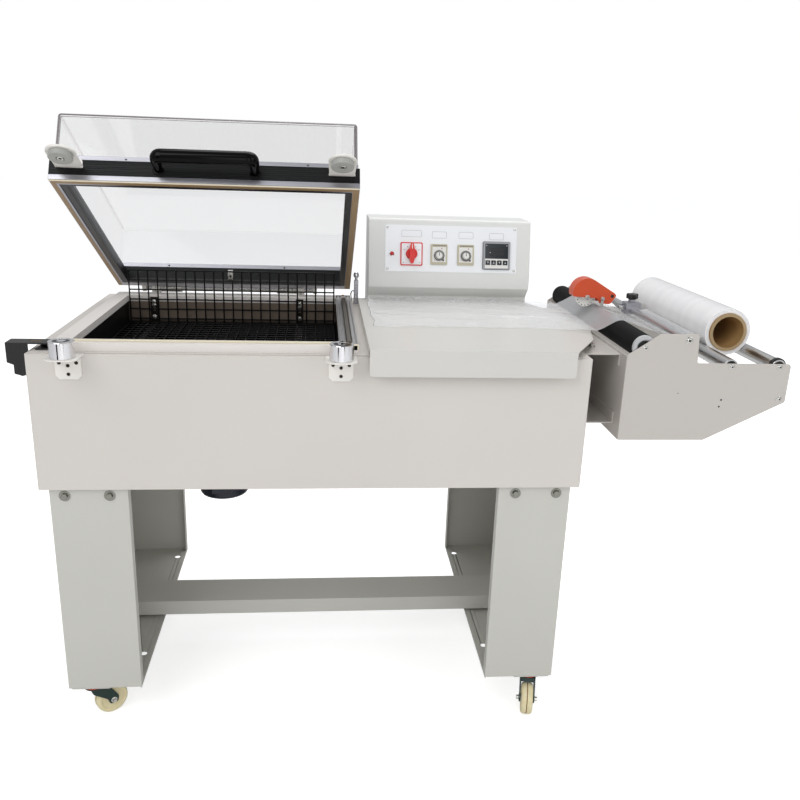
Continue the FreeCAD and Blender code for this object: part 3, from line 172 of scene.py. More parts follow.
def roundCorners(points, radius, steps=5):
    """Corner points of an outline or path, each rounded to the radius (or its own, as a third number)."""
    out = []
    count = len(points)
    for i in range(count):
        p = Vector(points[i][:2])
        r = points[i][2] if len(points[i]) > 2 else radius
        a = (Vector(points[i - 1][:2]) - p)
        b = (Vector(points[(i + 1) % count][:2]) - p)
        half = a.angle(b) / 2
        if r <= 0:
            out.append((p.x, p.y))
            continue
        run = min(r / math.tan(half), a.length * 0.49, b.length * 0.49)
        r = run * math.tan(half)
        middle = p + (a.normalized() + b.normalized()).normalized() * (r / math.sin(half))
        start = p + a.normalized() * run - middle
        end = p + b.normalized() * run - middle
        sweep = start.angle_signed(end)
        for k in range(steps + 1):
            turn = Matrix.Rotation(-sweep * k / steps, 2)
            q = middle + turn @ start
            out.append((q.x, q.y))
    return out


def bendPath(points, radius, steps=6):
    """Path in space with its inner corners rounded."""
    out = [Vector(points[0])]
    for i in range(1, len(points) - 1):
        p = Vector(points[i])
        a = Vector(points[i - 1]) - p
        b = Vector(points[i + 1]) - p
        run = min(radius, a.length * 0.49, b.length * 0.49)
        start, end = p + a.normalized() * run, p + b.normalized() * run
        for k in range(steps + 1):
            t = k / steps
            out.append(start * (1 - t) ** 2 + p * 2 * t * (1 - t) + end * t * t)
    out.append(Vector(points[-1]))
    return out


def shade(piece, bevel, angle=32, segments=2):
    """Eased edges and clean highlights on a finished mesh."""
    for face in piece.data.polygons:
        face.use_smooth = True
    piece.data.set_sharp_from_angle(angle=math.radians(angle))
    if bevel:
        ease = piece.modifiers.new("easedEdges", "BEVEL")
        ease.width = bevel * 0.001
        ease.segments = segments
        ease.limit_method = "ANGLE"
        ease.angle_limit = math.radians(angle)
        ease.miter_outer = "MITER_ARC"
        ease.harden_normals = False
    even = piece.modifiers.new("evenShading", "WEIGHTED_NORMAL")
    even.keep_sharp = not bevel


def finishPiece(name, work, materials, body, bevel=0.0, stands=(), angle=32):
    bmesh.ops.recalc_face_normals(work, faces=work.faces)
    mesh = bpy.data.meshes.new(name)
    work.to_mesh(mesh)
    work.free()
    for material in materials if isinstance(materials, (list, tuple)) else [materials]:
        mesh.materials.append(material)
    piece = bpy.data.objects.new(name, mesh)
    scene.collection.objects.link(piece)
    shade(piece, bevel, angle)
    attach(piece, body)
    if stands:
        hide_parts(*stands)
    return piece


bodyOf = {node: body for body, members in frame["record"]["behaviour"]["bodies"].items() for node in members}


def dress(node, name, material, bevel=0.8, angle=32):
    """A CAD node's own shape, welded and with its edges eased, in the node's place."""
    work = bmesh.new()
    work.from_mesh(nodes[node].data)
    bmesh.ops.remove_doubles(work, verts=work.verts, dist=0.00001)
    bmesh.ops.dissolve_limit(work, angle_limit=math.radians(0.6), verts=work.verts, edges=work.edges)
    bmesh.ops.triangulate(work, faces=[face for face in work.faces if len(face.verts) > 20])    # plates with slots
    for face in work.faces:
        face.material_index = 0
    return finishPiece(name, work, material, bodyOf[node], bevel, (node,), angle)


def paintNode(node, material):
    """A CAD node that stays as it is, in a better material."""
    nodes[node].data.materials.clear()
    nodes[node].data.materials.append(material)


print("tools ready")


# ---- materials ----

def powderCoat(name, tone, shadeTone, roughness=0.4, blotch=320, peel=1.6, depth=0.05):
    """Baked powder paint: satin, even, with a very fine orange peel that breaks up reflections."""
    material, tree, shader, where = startMaterial(name, tone, roughness)
    cloud = addNode(tree, "ShaderNodeTexNoise", {"Scale": perMetre(blotch), "Detail": 4.0}, {"Vector": where})
    tint = addNode(tree, "ShaderNodeMix", {"data_type": "RGBA", 6: hexColour(tone), 7: hexColour(shadeTone)},
                   {0: cloud.outputs[0]})
    tree.links.new(tint.outputs[2], shader.inputs["Base Color"])
    skin = addNode(tree, "ShaderNodeTexNoise", {"Scale": perMetre(peel), "Detail": 2.0}, {"Vector": where})
    bump = addNode(tree, "ShaderNodeBump", {"Strength": depth, "Distance": 0.0006}, {"Height": skin.outputs[0]})
    tree.links.new(bump.outputs[0], shader.inputs["Normal"])
    spread = addNode(tree, "ShaderNodeMapRange", {"To Min": roughness - 0.04, "To Max": roughness + 0.06},
                     {"Value": cloud.outputs[0]})
    tree.links.new(spread.outputs[0], shader.inputs["Roughness"])
    return material


def brushedMetal(name, tone, shadeTone, roughness, stretch=(1.0, 60.0, 60.0), line=0.9, depth=0.12, metallic=1.0):
    """Metal with fine parallel lines, long along the axis whose stretch is 1, as a belt or a die leaves them."""
    material, tree, shader, where = startMaterial(name, tone, roughness, metallic)
    turn = addNode(tree, "ShaderNodeMapping", {"Scale": stretch}, {"Vector": where})
    lines = addNode(tree, "ShaderNodeTexNoise", {"Scale": perMetre(line * 60), "Detail": 5.0, "Roughness": 0.7},
                    {"Vector": turn.outputs[0]})
    tint = addNode(tree, "ShaderNodeMix", {"data_type": "RGBA", 6: hexColour(tone), 7: hexColour(shadeTone)},
                   {0: lines.outputs[0]})
    tree.links.new(tint.outputs[2], shader.inputs["Base Color"])
    spread = addNode(tree, "ShaderNodeMapRange", {"To Min": roughness - 0.07, "To Max": roughness + 0.1},
                     {"Value": lines.outputs[0]})
    tree.links.new(spread.outputs[0], shader.inputs["Roughness"])
    bump = addNode(tree, "ShaderNodeBump", {"Strength": depth, "Distance": 0.0004}, {"Height": lines.outputs[0]})
    tree.links.new(bump.outputs[0], shader.inputs["Normal"])
    return material


def mouldedPlastic(name, tone, roughness, grain=0.8, depth=0.05, **sockets):
    """Injection moulded part: one colour through, with the mould's fine spark grain."""
    material, tree, shader, where = startMaterial(name, tone, roughness, **sockets)
    spark = addNode(tree, "ShaderNodeTexNoise", {"Scale": perMetre(grain), "Detail": 2.0}, {"Vector": where})
    bump = addNode(tree, "ShaderNodeBump", {"Strength": depth, "Distance": 0.0003}, {"Height": spark.outputs[0]})
    tree.links.new(bump.outputs[0], shader.inputs["Normal"])
    wipe = addNode(tree, "ShaderNodeTexNoise", {"Scale": perMetre(45), "Detail": 3.0}, {"Vector": where})
    spread = addNode(tree, "ShaderNodeMapRange", {"To Min": roughness - 0.03, "To Max": roughness + 0.05},
                     {"Value": wipe.outputs[0]})
    tree.links.new(spread.outputs[0], shader.inputs["Roughness"])
    return material


# Cabinet paint: a light warm grey powder coat, satin; the legs are sprayed a little cooler and darker
cabinetCoat = powderCoat("cabinetPowderCoat", "#D2CDC7", "#CBC6C0")
legCoat = powderCoat("legPowderCoat", "#C6C5BE", "#BEBDB6", 0.46)
tableCoat = powderCoat("tablePowderCoat", "#D0CEC9", "#C9C7C2", 0.36)
consoleCoat = powderCoat("consolePowderCoat", "#E1E2DF", "#DADBD8", 0.4)
unwinderCoat = powderCoat("unwinderPowderCoat", "#C1BCB6", "#BBB6B0", 0.38)
blackCoat = powderCoat("blackPowderCoat", "#1E1D1D", "#181818", 0.42, 60)
greenCoat = powderCoat("greenForkEnamel", "#12302A", "#0D2620", 0.3, 40)    # dark green stoved enamel
motorEnamel = powderCoat("motorEnamel", "#131B2C", "#0E1422", 0.34, 50)
guardOrange = powderCoat("guardEnamel", "#D4512A", "#C94A26", 0.3, 70)    # bright orange gloss enamel
rimCoat = powderCoat("rimPowderCoat", "#E6E1DC", "#DDD8D3", 0.34)
bracketCoat = powderCoat("bracketPowderCoat", "#E9E6E0", "#E1DED8", 0.34, 60)

# Plain anodised aluminium: satin silver with extrusion lines along the piece
anodisedX = brushedMetal("anodisedAluminium", "#B9B9C0", "#A9A9B0", 0.3)
anodisedY = brushedMetal("anodisedAluminiumRail", "#D6D6D7", "#C2C2C4", 0.3, (60.0, 1.0, 60.0))
panelAluminium = brushedMetal("brushedPanelAluminium", "#F2F4F6", "#E8EAED", 0.4, (1.0, 60.0, 60.0), 0.7, 0.06, 0.35)
blackAnodised = brushedMetal("blackAnodisedAluminium", "#0D0F11", "#07080A", 0.36, (1.0, 70.0, 70.0), 1.1, 0.2, 0.5)
sideAnodised = brushedMetal("greyAnodisedAluminium", "#7D7F80", "#6B6D6E", 0.36, (60.0, 1.0, 60.0))
stainless = brushedMetal("wornStainless", "#8A7F73", "#6F665C", 0.4, (1.0, 40.0, 40.0), 1.4)
groundSteel = brushedMetal("groundSteel", "#C9C9C8", "#B2B2B1", 0.22, (40.0, 1.0, 40.0))
turnedAluminium = brushedMetal("turnedAluminiumTube", "#CFCFCE", "#B9B9B8", 0.28, (50.0, 1.0, 50.0))

chromePlate, chromeTree, chromeShader, chromeWhere = startMaterial("chromePlate", "#E6E6E8", 0.06, 1.0)
smudge = addNode(chromeTree, "ShaderNodeTexNoise", {"Scale": perMetre(18), "Detail": 3.0}, {"Vector": chromeWhere})
haze = addNode(chromeTree, "ShaderNodeMapRange", {"To Min": 0.04, "To Max": 0.11}, {"Value": smudge.outputs[0]})
chromeTree.links.new(haze.outputs[0], chromeShader.inputs["Roughness"])    # polished, with faint finger haze

zincPlate, zincTree, zincShader, zincWhere = startMaterial("brightZincPlate", "#D8D8D4", 0.2, 1.0)
spangle = addNode(zincTree, "ShaderNodeTexVoronoi", {"Scale": perMetre(3)}, {"Vector": zincWhere})
zincTone = addNode(zincTree, "ShaderNodeMix", {"data_type": "RGBA", 6: hexColour("#DEDEDA"), 7: hexColour("#CBCAC4")},
                   {0: spangle.outputs["Distance"]})
zincTree.links.new(zincTone.outputs[2], zincShader.inputs["Base Color"])    # bright plate with a slight spangle

brass = brushedMetal("brassScrew", "#C8A35A", "#B08A45", 0.26, (20.0, 20.0, 1.0), 0.6)
redNylon = mouldedPlastic("redNylon", "#D9201C", 0.28)
blackNylon = mouldedPlastic("glossyBlackNylon", "#030303", 0.1, 3.0, 0.02, Specular_IOR_Level=0.12)
blackPlastic = mouldedPlastic("blackPhenolic", "#151515", 0.32)
beigeAbs = mouldedPlastic("beigeAbs", "#BDB69E", 0.4)
whiteAbs = mouldedPlastic("whiteAbs", "#E6E5E1", 0.35)
whiteNylon = mouldedPlastic("whiteNylon", "#E9E8E4", 0.36)
greyAbs = mouldedPlastic("greyAbs", "#9A9DA0", 0.4)
displayPlastic = mouldedPlastic("smokedDisplay", "#272C30", 0.12, 3.0, 0.0)
darkInk = mouldedPlastic("darkInk", "#4A4C4F", 0.5)
paleInk = mouldedPlastic("paleInk", "#A9ACAE", 0.5)
redLens = mouldedPlastic("redLampLens", "#B80E12", 0.12, 2.0, 0.02, Coat_Weight=0.5)
creamSilicone = mouldedPlastic("creamSilicone", "#E3DAC2", 0.5, 0.7, 0.12)
stripSilicone = mouldedPlastic("sealStripSilicone", "#E3DAC2", 0.5, 0.7, 0.12)    # cream in front, sooty by the rails
stripTree = stripSilicone.node_tree
stripX = addNode(stripTree, "ShaderNodeSeparateXYZ", None,
                 {"Vector": addNode(stripTree, "ShaderNodeTexCoord").outputs["Object"]})
stripSide = addNode(stripTree, "ShaderNodeMapRange", {"From Min": -0.172, "From Max": -0.166}, {"Value": stripX.outputs[0]})
stripTone = addNode(stripTree, "ShaderNodeMix", {"data_type": "RGBA", 6: hexColour("#E3DAC2"), 7: hexColour("#56524C")},
                    {0: stripSide.outputs[0]})
stripTree.links.new(stripTone.outputs[2], stripTree.nodes["Principled BSDF"].inputs["Base Color"])
discGrey = powderCoat("discEnamel", "#A7A8A3", "#9C9D98", 0.4, 40)
displayGlass = mouldedPlastic("unlitDisplay", "#1A1F22", 0.2, 3.0, 0.0)
boardEdge = mouldedPlastic("boardCutEdge", "#A48E6C", 0.8, 1.5, 0.3)
greyCap = mouldedPlastic("greyEndCap", "#B4B5B6", 0.42)
orangeRing = mouldedPlastic("orangeDustRing", "#C4431E", 0.36)

# Cast polyurethane tyre: cream, slightly waxy
creamTyre, tyreTree, tyreShader, tyreWhere = startMaterial("creamPolyurethane", "#E4D9B4", 0.38)
tyreTree.nodes["Principled BSDF"].inputs["Subsurface Weight"].default_value = 0.1
tyreGrain = addNode(tyreTree, "ShaderNodeTexNoise", {"Scale": perMetre(9), "Detail": 4.0}, {"Vector": tyreWhere})
tyreTone = addNode(tyreTree, "ShaderNodeMix", {"data_type": "RGBA", 6: hexColour("#E8DEBC"), 7: hexColour("#D6C998")},
                   {0: tyreGrain.outputs[0]})
tyreTree.links.new(tyreTone.outputs[2], tyreShader.inputs["Base Color"])
seamBrown = mouldedPlastic("seamBrown", "#8A6A42", 0.5)

# Black roller rubber: ground, matt, with a fine granular skin
rollerRubber, rubberTree, rubberShader, rubberWhere = startMaterial("groundRubber", "#0B0B0C", 0.66)
rubberShader.inputs["Specular IOR Level"].default_value = 0.12
rubberGrain = addNode(rubberTree, "ShaderNodeTexNoise", {"Scale": perMetre(1.2), "Detail": 4.0}, {"Vector": rubberWhere})
rubberBump = addNode(rubberTree, "ShaderNodeBump", {"Strength": 0.35, "Distance": 0.0005},
                     {"Height": rubberGrain.outputs[0]})
rubberTree.links.new(rubberBump.outputs[0], rubberShader.inputs["Normal"])
rubberTone = addNode(rubberTree, "ShaderNodeMix", {"data_type": "RGBA", 6: hexColour("#040404"), 7: hexColour("#0C0C0D")},
                     {0: rubberGrain.outputs[0]})
rubberTree.links.new(rubberTone.outputs[2], rubberShader.inputs["Base Color"])

# Woven glass tape with a PTFE face: tan, with a fine square weave 0.8 mm apart, drawn at 1.6 mm so that it shows
tanTape, tapeTree, tapeShader, tapeWhere = startMaterial("glassTape", "#A58A63", 0.42)
warp = addNode(tapeTree, "ShaderNodeTexWave", {"Scale": perMetre(1.6) / 6.28, "bands_direction": "X"},
               {"Vector": tapeWhere})
weft = addNode(tapeTree, "ShaderNodeTexWave", {"Scale": perMetre(1.6) / 6.28, "bands_direction": "Y"},
               {"Vector": tapeWhere})
weave = addNode(tapeTree, "ShaderNodeMath", {"operation": "MULTIPLY"}, {0: warp.outputs[1], 1: weft.outputs[1]})
tapeTone = addNode(tapeTree, "ShaderNodeMix", {"data_type": "RGBA", 6: hexColour("#8C7150"), 7: hexColour("#B89C74")},
                   {0: weave.outputs[0]})
tapeTree.links.new(tapeTone.outputs[2], tapeShader.inputs["Base Color"])
tapeBump = addNode(tapeTree, "ShaderNodeBump", {"Strength": 0.3, "Distance": 0.0003}, {"Height": weave.outputs[0]})
tapeTree.links.new(tapeBump.outputs[0], tapeShader.inputs["Normal"])

# Spiral wound board: brown paper with fibre flecks and a seam every 60 mm
paperBoard, boardTree, boardShader, boardWhere = startMaterial("spiralWoundBoard", "#A9855A", 0.78)
boardTurn = addNode(boardTree, "ShaderNodeMapping", {"Rotation": (0.0, 0.0, 0.5)}, {"Vector": boardWhere})
boardBand = addNode(boardTree, "ShaderNodeTexWave", {"Scale": perMetre(60) / 6.28, "bands_direction": "Y",
                                                     "Distortion": 0.6}, {"Vector": boardTurn.outputs[0]})
boardFleck = addNode(boardTree, "ShaderNodeTexNoise", {"Scale": perMetre(2.5), "Detail": 6.0}, {"Vector": boardWhere})
boardMix = addNode(boardTree, "ShaderNodeMath", {"operation": "MULTIPLY_ADD", 1: 0.7},
                   {0: boardFleck.outputs[0], 2: boardBand.outputs[1]})
boardTone = addNode(boardTree, "ShaderNodeMix", {"data_type": "RGBA", 6: hexColour("#8F6C43"), 7: hexColour("#B7935F")},
                    {0: boardMix.outputs[0]})
boardTree.links.new(boardTone.outputs[2], boardShader.inputs["Base Color"])
boardBump = addNode(boardTree, "ShaderNodeBump", {"Strength": 0.25, "Distance": 0.0004},
                    {"Height": boardFleck.outputs[0]})
boardTree.links.new(boardBump.outputs[0], boardShader.inputs["Normal"])

# Wound shrink film: many clear turns look milky, with soft bands where the winding tension changed
woundFilm, woundTree, woundShader, woundWhere = startMaterial("woundShrinkFilm", "#F0F0F1", 0.16)
woundShader.inputs["Subsurface Weight"].default_value = 0.25
woundShader.inputs["Subsurface Radius"].default_value = (0.02, 0.018, 0.018)
woundShader.inputs["Coat Weight"].default_value = 0.5
woundShader.inputs["Coat Roughness"].default_value = 0.08
woundBand = addNode(woundTree, "ShaderNodeMapping", {"Scale": (0.2, 1.0, 0.2)}, {"Vector": woundWhere})
woundNoise = addNode(woundTree, "ShaderNodeTexNoise", {"Scale": perMetre(26), "Detail": 5.0},
                     {"Vector": woundBand.outputs[0]})
woundTone = addNode(woundTree, "ShaderNodeMix", {"data_type": "RGBA", 6: hexColour("#F5F5F5"), 7: hexColour("#E4E2E4")},
                    {0: woundNoise.outputs[0]})
woundTree.links.new(woundTone.outputs[2], woundShader.inputs["Base Color"])
woundBump = addNode(woundTree, "ShaderNodeBump", {"Strength": 0.05, "Distance": 0.0006}, {"Height": woundNoise.outputs[0]})
woundTree.links.new(woundBump.outputs[0], woundShader.inputs["Normal"])

# Cast acrylic, 5 mm: clear panes with a painted grey haze as painted shade, heaviest on the rear pane and lightest on
# the front
def acrylicPane(name, haze):
    material, tree, shader, where = startMaterial(name, "#93969A", 0.05)
    cloud = addNode(tree, "ShaderNodeTexNoise", {"Scale": perMetre(240), "Detail": 2.0}, {"Vector": where})
    # Painted shade: a grey haze laid over the pane, its strength given pane by pane
    paneShadeHaze = addNode(tree, "ShaderNodeMapRange", {"To Min": haze * 0.93, "To Max": haze * 1.07}, {"Value": cloud.outputs[0]})
    tree.links.new(paneShadeHaze.outputs[0], shader.inputs["Alpha"])
    shine = addNode(tree, "ShaderNodeBsdfGlossy", {"Roughness": 0.03})
    fresnel = addNode(tree, "ShaderNodeFresnel", {"IOR": 1.49})
    share = addNode(tree, "ShaderNodeMath", {"operation": "MULTIPLY", 1: 0.14}, {0: fresnel.outputs[0]})
    both = addNode(tree, "ShaderNodeMixShader", None, {0: share.outputs[0], 1: shader.outputs[0], 2: shine.outputs[0]})
    tree.links.new(both.outputs[0], tree.nodes["Material Output"].inputs["Surface"])
    return material


# Painted shade: the rear pane gets the greyest haze, the front pane is nearly clear
castAcrylic = acrylicPane("castAcrylic", 0.055)
frontAcrylic = acrylicPane("castAcrylicFront", 0.02)
shadedRearAcrylic = acrylicPane("castAcrylicRearShaded", 0.14)

# The hood's bent corners: painted dark brown violet, as painted shade and reflection for the light that runs along
# inside them; its top fold is painted pale pink as a painted highlight
def paintedAcrylicEdge(name, tone, through, alpha):
    material, tree, shader, where = startMaterial(name, tone, 0.12)
    streak = addNode(tree, "ShaderNodeTexNoise", {"Scale": perMetre(60), "Detail": 3.0}, {"Vector": where})
    tint = addNode(tree, "ShaderNodeMix", {"data_type": "RGBA", 6: hexColour(tone), 7: hexColour(through)},
                   {0: streak.outputs[0]})
    tree.links.new(tint.outputs[2], shader.inputs["Base Color"])
    shader.inputs["Alpha"].default_value = alpha
    return material


acrylicCornerPaintedShade = paintedAcrylicEdge("acrylicCornerPaintedShade", "#2E2227", "#54454A", 0.8)
acrylicFoldPaintedHighlight = paintedAcrylicEdge("acrylicFoldPaintedHighlight", "#C9B9BC", "#E6DCDD", 0.25)

# Clear shrink film, 19 microns: hardly there face on; bright and silvery where it turns away, from a painted sheen of
# more opaque white, and where it creases
clearFilm, filmTree, filmShader, filmWhere = startMaterial("clearShrinkFilm", "#EFF1F3", 0.09)
filmShader.inputs["Specular IOR Level"].default_value = 0.9
filmFacing = addNode(filmTree, "ShaderNodeLayerWeight", {"Blend": 0.35})
filmCrease = addNode(filmTree, "ShaderNodeTexNoise", {"Scale": perMetre(34), "Detail": 6.0, "Roughness": 0.62},
                     {"Vector": filmWhere})
# Painted sheen: the film's white grows more opaque where the surface turns away from the view
filmSheenAlpha = addNode(filmTree, "ShaderNodeMapRange", {"To Min": 0.1, "To Max": 0.7},
                    {"Value": filmFacing.outputs["Facing"]})
filmTree.links.new(filmSheenAlpha.outputs[0], filmShader.inputs["Alpha"])
filmBump = addNode(filmTree, "ShaderNodeBump", {"Strength": 0.35, "Distance": 0.004}, {"Height": filmCrease.outputs[0]})
filmTree.links.new(filmBump.outputs[0], filmShader.inputs["Normal"])

# Heat chamber lining: stainless, with painted shade that turns it near black below the tray and on the side walls
shadedChamberSteel, chamberTree, chamberShader, chamberWhere = startMaterial("stainlessWithPaintedShade", "#7D7166", 0.42, 0.7)
chamberAxes = addNode(chamberTree, "ShaderNodeSeparateXYZ", None, {"Vector": chamberWhere})
# Painted shade: the lining is blended to near black below the tray level and on walls that face sideways
shadeBelowTray = addNode(chamberTree, "ShaderNodeMapRange", {"From Min": 0.845, "From Max": 0.856, "To Min": 1.0, "To Max": 0.0},
                    {"Value": chamberAxes.outputs[2]})
chamberNormal = addNode(chamberTree, "ShaderNodeNewGeometry")
chamberFace = addNode(chamberTree, "ShaderNodeSeparateXYZ", None, {"Vector": chamberNormal.outputs["True Normal"]})
sideWallShade = addNode(chamberTree, "ShaderNodeMath", {"operation": "ABSOLUTE"}, {0: chamberFace.outputs[0]})
chamberPaintedShade = addNode(chamberTree, "ShaderNodeMath", {"operation": "MAXIMUM"},
                      {0: shadeBelowTray.outputs[0], 1: sideWallShade.outputs[0]})
chamberStain = addNode(chamberTree, "ShaderNodeTexNoise", {"Scale": perMetre(120), "Detail": 4.0}, {"Vector": chamberWhere})
chamberTone = addNode(chamberTree, "ShaderNodeMix", {"data_type": "RGBA", 6: hexColour("#8B7D70"), 7: hexColour("#75695E")},
                      {0: chamberStain.outputs[0]})
chamberShadeBlend = addNode(chamberTree, "ShaderNodeMix", {"data_type": "RGBA", 7: hexColour("#131416")},
                       {0: chamberPaintedShade.outputs[0], 6: chamberTone.outputs[2]})
chamberTree.links.new(chamberShadeBlend.outputs[2], chamberShader.inputs["Base Color"])

wireCoat = mouldedPlastic("blackWireCoating", "#050506", 0.34, 1.0, 0.04, Specular_IOR_Level=0.25)    # nylon dipped steel wire
dullZinc = brushedMetal("dullZincPlate", "#9E9E96", "#86867E", 0.24, (20.0, 20.0, 20.0))
darkSteel = brushedMetal("heatDarkenedStrip", "#3A3632", "#2A2724", 0.4, (1.0, 1.0, 30.0))
heaterSheath = brushedMetal("heaterSheath", "#4A433D", "#37322E", 0.5, (1.0, 30.0, 30.0))
print("materials ready")

# ---- every CAD shape first gets its own finish; the pieces below then stand in for some of them ----

finishes = {
    "cabinet_shell": cabinetCoat, "bottom_pan": cabinetCoat, "legs": legCoat, "crossbar": legCoat, "top_deck": cabinetCoat,
    "steel_fittings": zincPlate, "chamber_liner": shadedChamberSteel, "chamber_rim": cabinetCoat,
    "side_seal_rails": anodisedY, "seal_strips": creamSilicone, "tray_grid": wireCoat, "rear_mesh": wireCoat,
    "heater_tubes": heaterSheath, "fan_motor": motorEnamel, "fan_impeller": zincPlate, "lid_frame": anodisedX,
    "lid_bars": blackAnodised, "lid_hood": castAcrylic, "lid_handle": blackNylon, "lid_tape": tanTape,
    "clamp_brackets": bracketCoat, "armature_discs": greyCap, "hinge_shaft": groundSteel, "hinge_bearings": zincPlate,
    "lid_springs": zincPlate, "holding_magnets": chromePlate, "magnet_brackets": bracketCoat,
    "product_table": tableCoat, "control_box": consoleCoat, "control_panel": panelAluminium,
    "panel_instruments": beigeAbs, "switch_knob": redNylon, "left_bracket": blackCoat, "unwinder_frame": unwinderCoat,
    "unwinder_shafts": groundSteel, "feed_roller": rollerRubber, "cradle_roller_1": turnedAluminium,
    "cradle_roller_2": turnedAluminium, "film_roll": woundFilm, "film_core": paperBoard, "film_web": clearFilm,
    "perforator_clamp": anodisedX, "perforator_cover": guardOrange, "pin_wheel": whiteNylon, "clamp_knob": blackPlastic}
for node in nodes:
    if node.startswith("timer_dial"):
        finishes[node] = greyAbs
    elif node.startswith("controller_key"):
        finishes[node] = displayPlastic
    elif node.startswith("castor_fork"):
        finishes[node] = greenCoat
    elif node.startswith("castor_wheel"):
        finishes[node] = creamTyre
print("without a finish:", [node for node in nodes if node not in finishes])
for node, material in finishes.items():
    paintNode(node, material)


def stack(*moves):
    """Product of placement matrices, the layout's own first."""
    place = layout.copy()
    for move in moves:
        place = place @ move
    return place


def shift(x, y, z):
    return Matrix.Translation((x, y, z))


def turn(angle, axis):
    return Matrix.Rotation(math.radians(angle), 4, axis)


frontward = turn(90, "X")    # an outline in x and z, pushed towards -y
sideways = Matrix(((0, 0, 1, 0), (1, 0, 0, 0), (0, 1, 0, 0), (0, 0, 0, 1)))    # an outline in y and z, pushed along x
lidPlace = stack(shift(0, 652, 927), turn(-30, "X"), shift(0, -652, -927))
facePlace = stack(shift(0, 545, 992), turn(78, "X"))    # x, height up the sloping face, distance out of it


def counted(low, high, pitch):
    steps = max(1, round((high - low) / pitch))
    return [low + (high - low) * i / steps for i in range(steps + 1)]


def addScrew(work, place, r, skin=0, dark=None, high=0.55, socket=0.42):
    """Domed screw head standing up +Z, with a hex socket; the socket can take a darker skin, as painted shade in the
    recess.
    """
    h = r * high
    addTurned(work, [(r, 0), (r, h * 0.35), (r * 0.86, h * 0.75), (r * 0.6, h), (r * socket, h)], place, skin, 24)
    hole = [(r * socket * 1.05 * math.cos(math.pi / 3 * i), r * socket * 1.05 * math.sin(math.pi / 3 * i))
            for i in range(6)]
    low = [work.verts.new(place @ Vector((x, y, h * 0.35))) for x, y in hole]
    high = [work.verts.new(place @ Vector((x, y, h * 1.01))) for x, y in hole]
    # Painted shade: the socket's floor and walls take the dark skin when one is given
    addFace(work, low, skin if dark is None else dark)
    for i in range(6):
        j = (i + 1) % 6
        addFace(work, [low[i], low[j], high[j], high[i]], skin if dark is None else dark)


def addHexBolt(work, place, washer=12.0, flats=13.0, skin=0):
    """Washer with eased rim, and a chamfered hex head with its raised bearing face."""
    addTurned(work, [(0, 0), (washer - 0.4, 0), (washer, 0.5), (washer, 1.1), (washer - 0.5, 1.6), (0, 1.6)],
              place, skin, 36)
    reach = flats / 2 / math.cos(math.pi / 6)
    rings = []
    for r, h in ((reach, 1.6), (reach, 6.2), (reach * 0.9, 7.1)):
        rings.append([work.verts.new(place @ Vector((r * math.cos(math.pi / 3 * i), r * math.sin(math.pi / 3 * i), h)))
                      for i in range(6)])
    for low, high in zip(rings, rings[1:]):
        for i in range(6):
            j = (i + 1) % 6
            addFace(work, [low[i], low[j], high[j], high[i]], skin)
    addFace(work, rings[-1], skin)


# ---- cabinet, deck, legs and table ----

for node, name, coat, edge in (("cabinet_shell", "cabinetShell", cabinetCoat, 1.2), ("top_deck", "topDeck", cabinetCoat, 0.6),
                               ("bottom_pan", "bottomPan", cabinetCoat, 0.6), ("legs", "foldedLegs", legCoat, 1.2),
                               ("crossbar", "crossBar", legCoat, 1.5), ("chamber_rim", "chamberRim", rimCoat, 2.2),
                               ("product_table", "productTable", tableCoat, 1.8),
                               ("control_box", "controlBox", consoleCoat, 2.4),
                               ("left_bracket", "endBracket", blackCoat, 1.0)):
    dress(node, name, coat, edge)

for vertex in bpy.data.objects["foldedLegs"].data.vertices:    # the foot's turned edge ends level with the front
    if vertex.co.z < 0.0945:
        vertex.co.z = 0.0945

fittings = {"leg_bolt_x": (50.5, 144.5, 1035.5, 1129.5), "leg_bolt_z": 583, "leg_front": 10, "leg_back": 696}
work = bmesh.new()
for x in fittings["leg_bolt_x"]:
    spin = turn(x * 7 % 60, "Z")
    addHexBolt(work, stack(shift(x, fittings["leg_front"], fittings["leg_bolt_z"]), frontward, spin))
    addHexBolt(work, stack(shift(x, fittings["leg_back"], fittings["leg_bolt_z"]), turn(-90, "X"), spin))
finishPiece("legBolts", work, dullZinc, "base", 0.25, ("steel_fittings",))

# The end bracket's bronze insert shows in its slot
work = bmesh.new()
addBlock(work, -3, 21, 48.6, 55.4, 911.6, 914.2)
finishPiece("bracketInsert", work, brass, "base", 0.3)
print("cabinet ready")


# ---- castors ----

castors = {"front_left": (68, 41, 34), "rear_left": (68, 665, 15), "front_right": (1112, 41, 257),
           "rear_right": (1112, 665, 140)}
wheelForm = {"r": 37.5, "half": 14, "bore": 4.1, "trail": 36, "cheek": 3, "gap": 15.5}

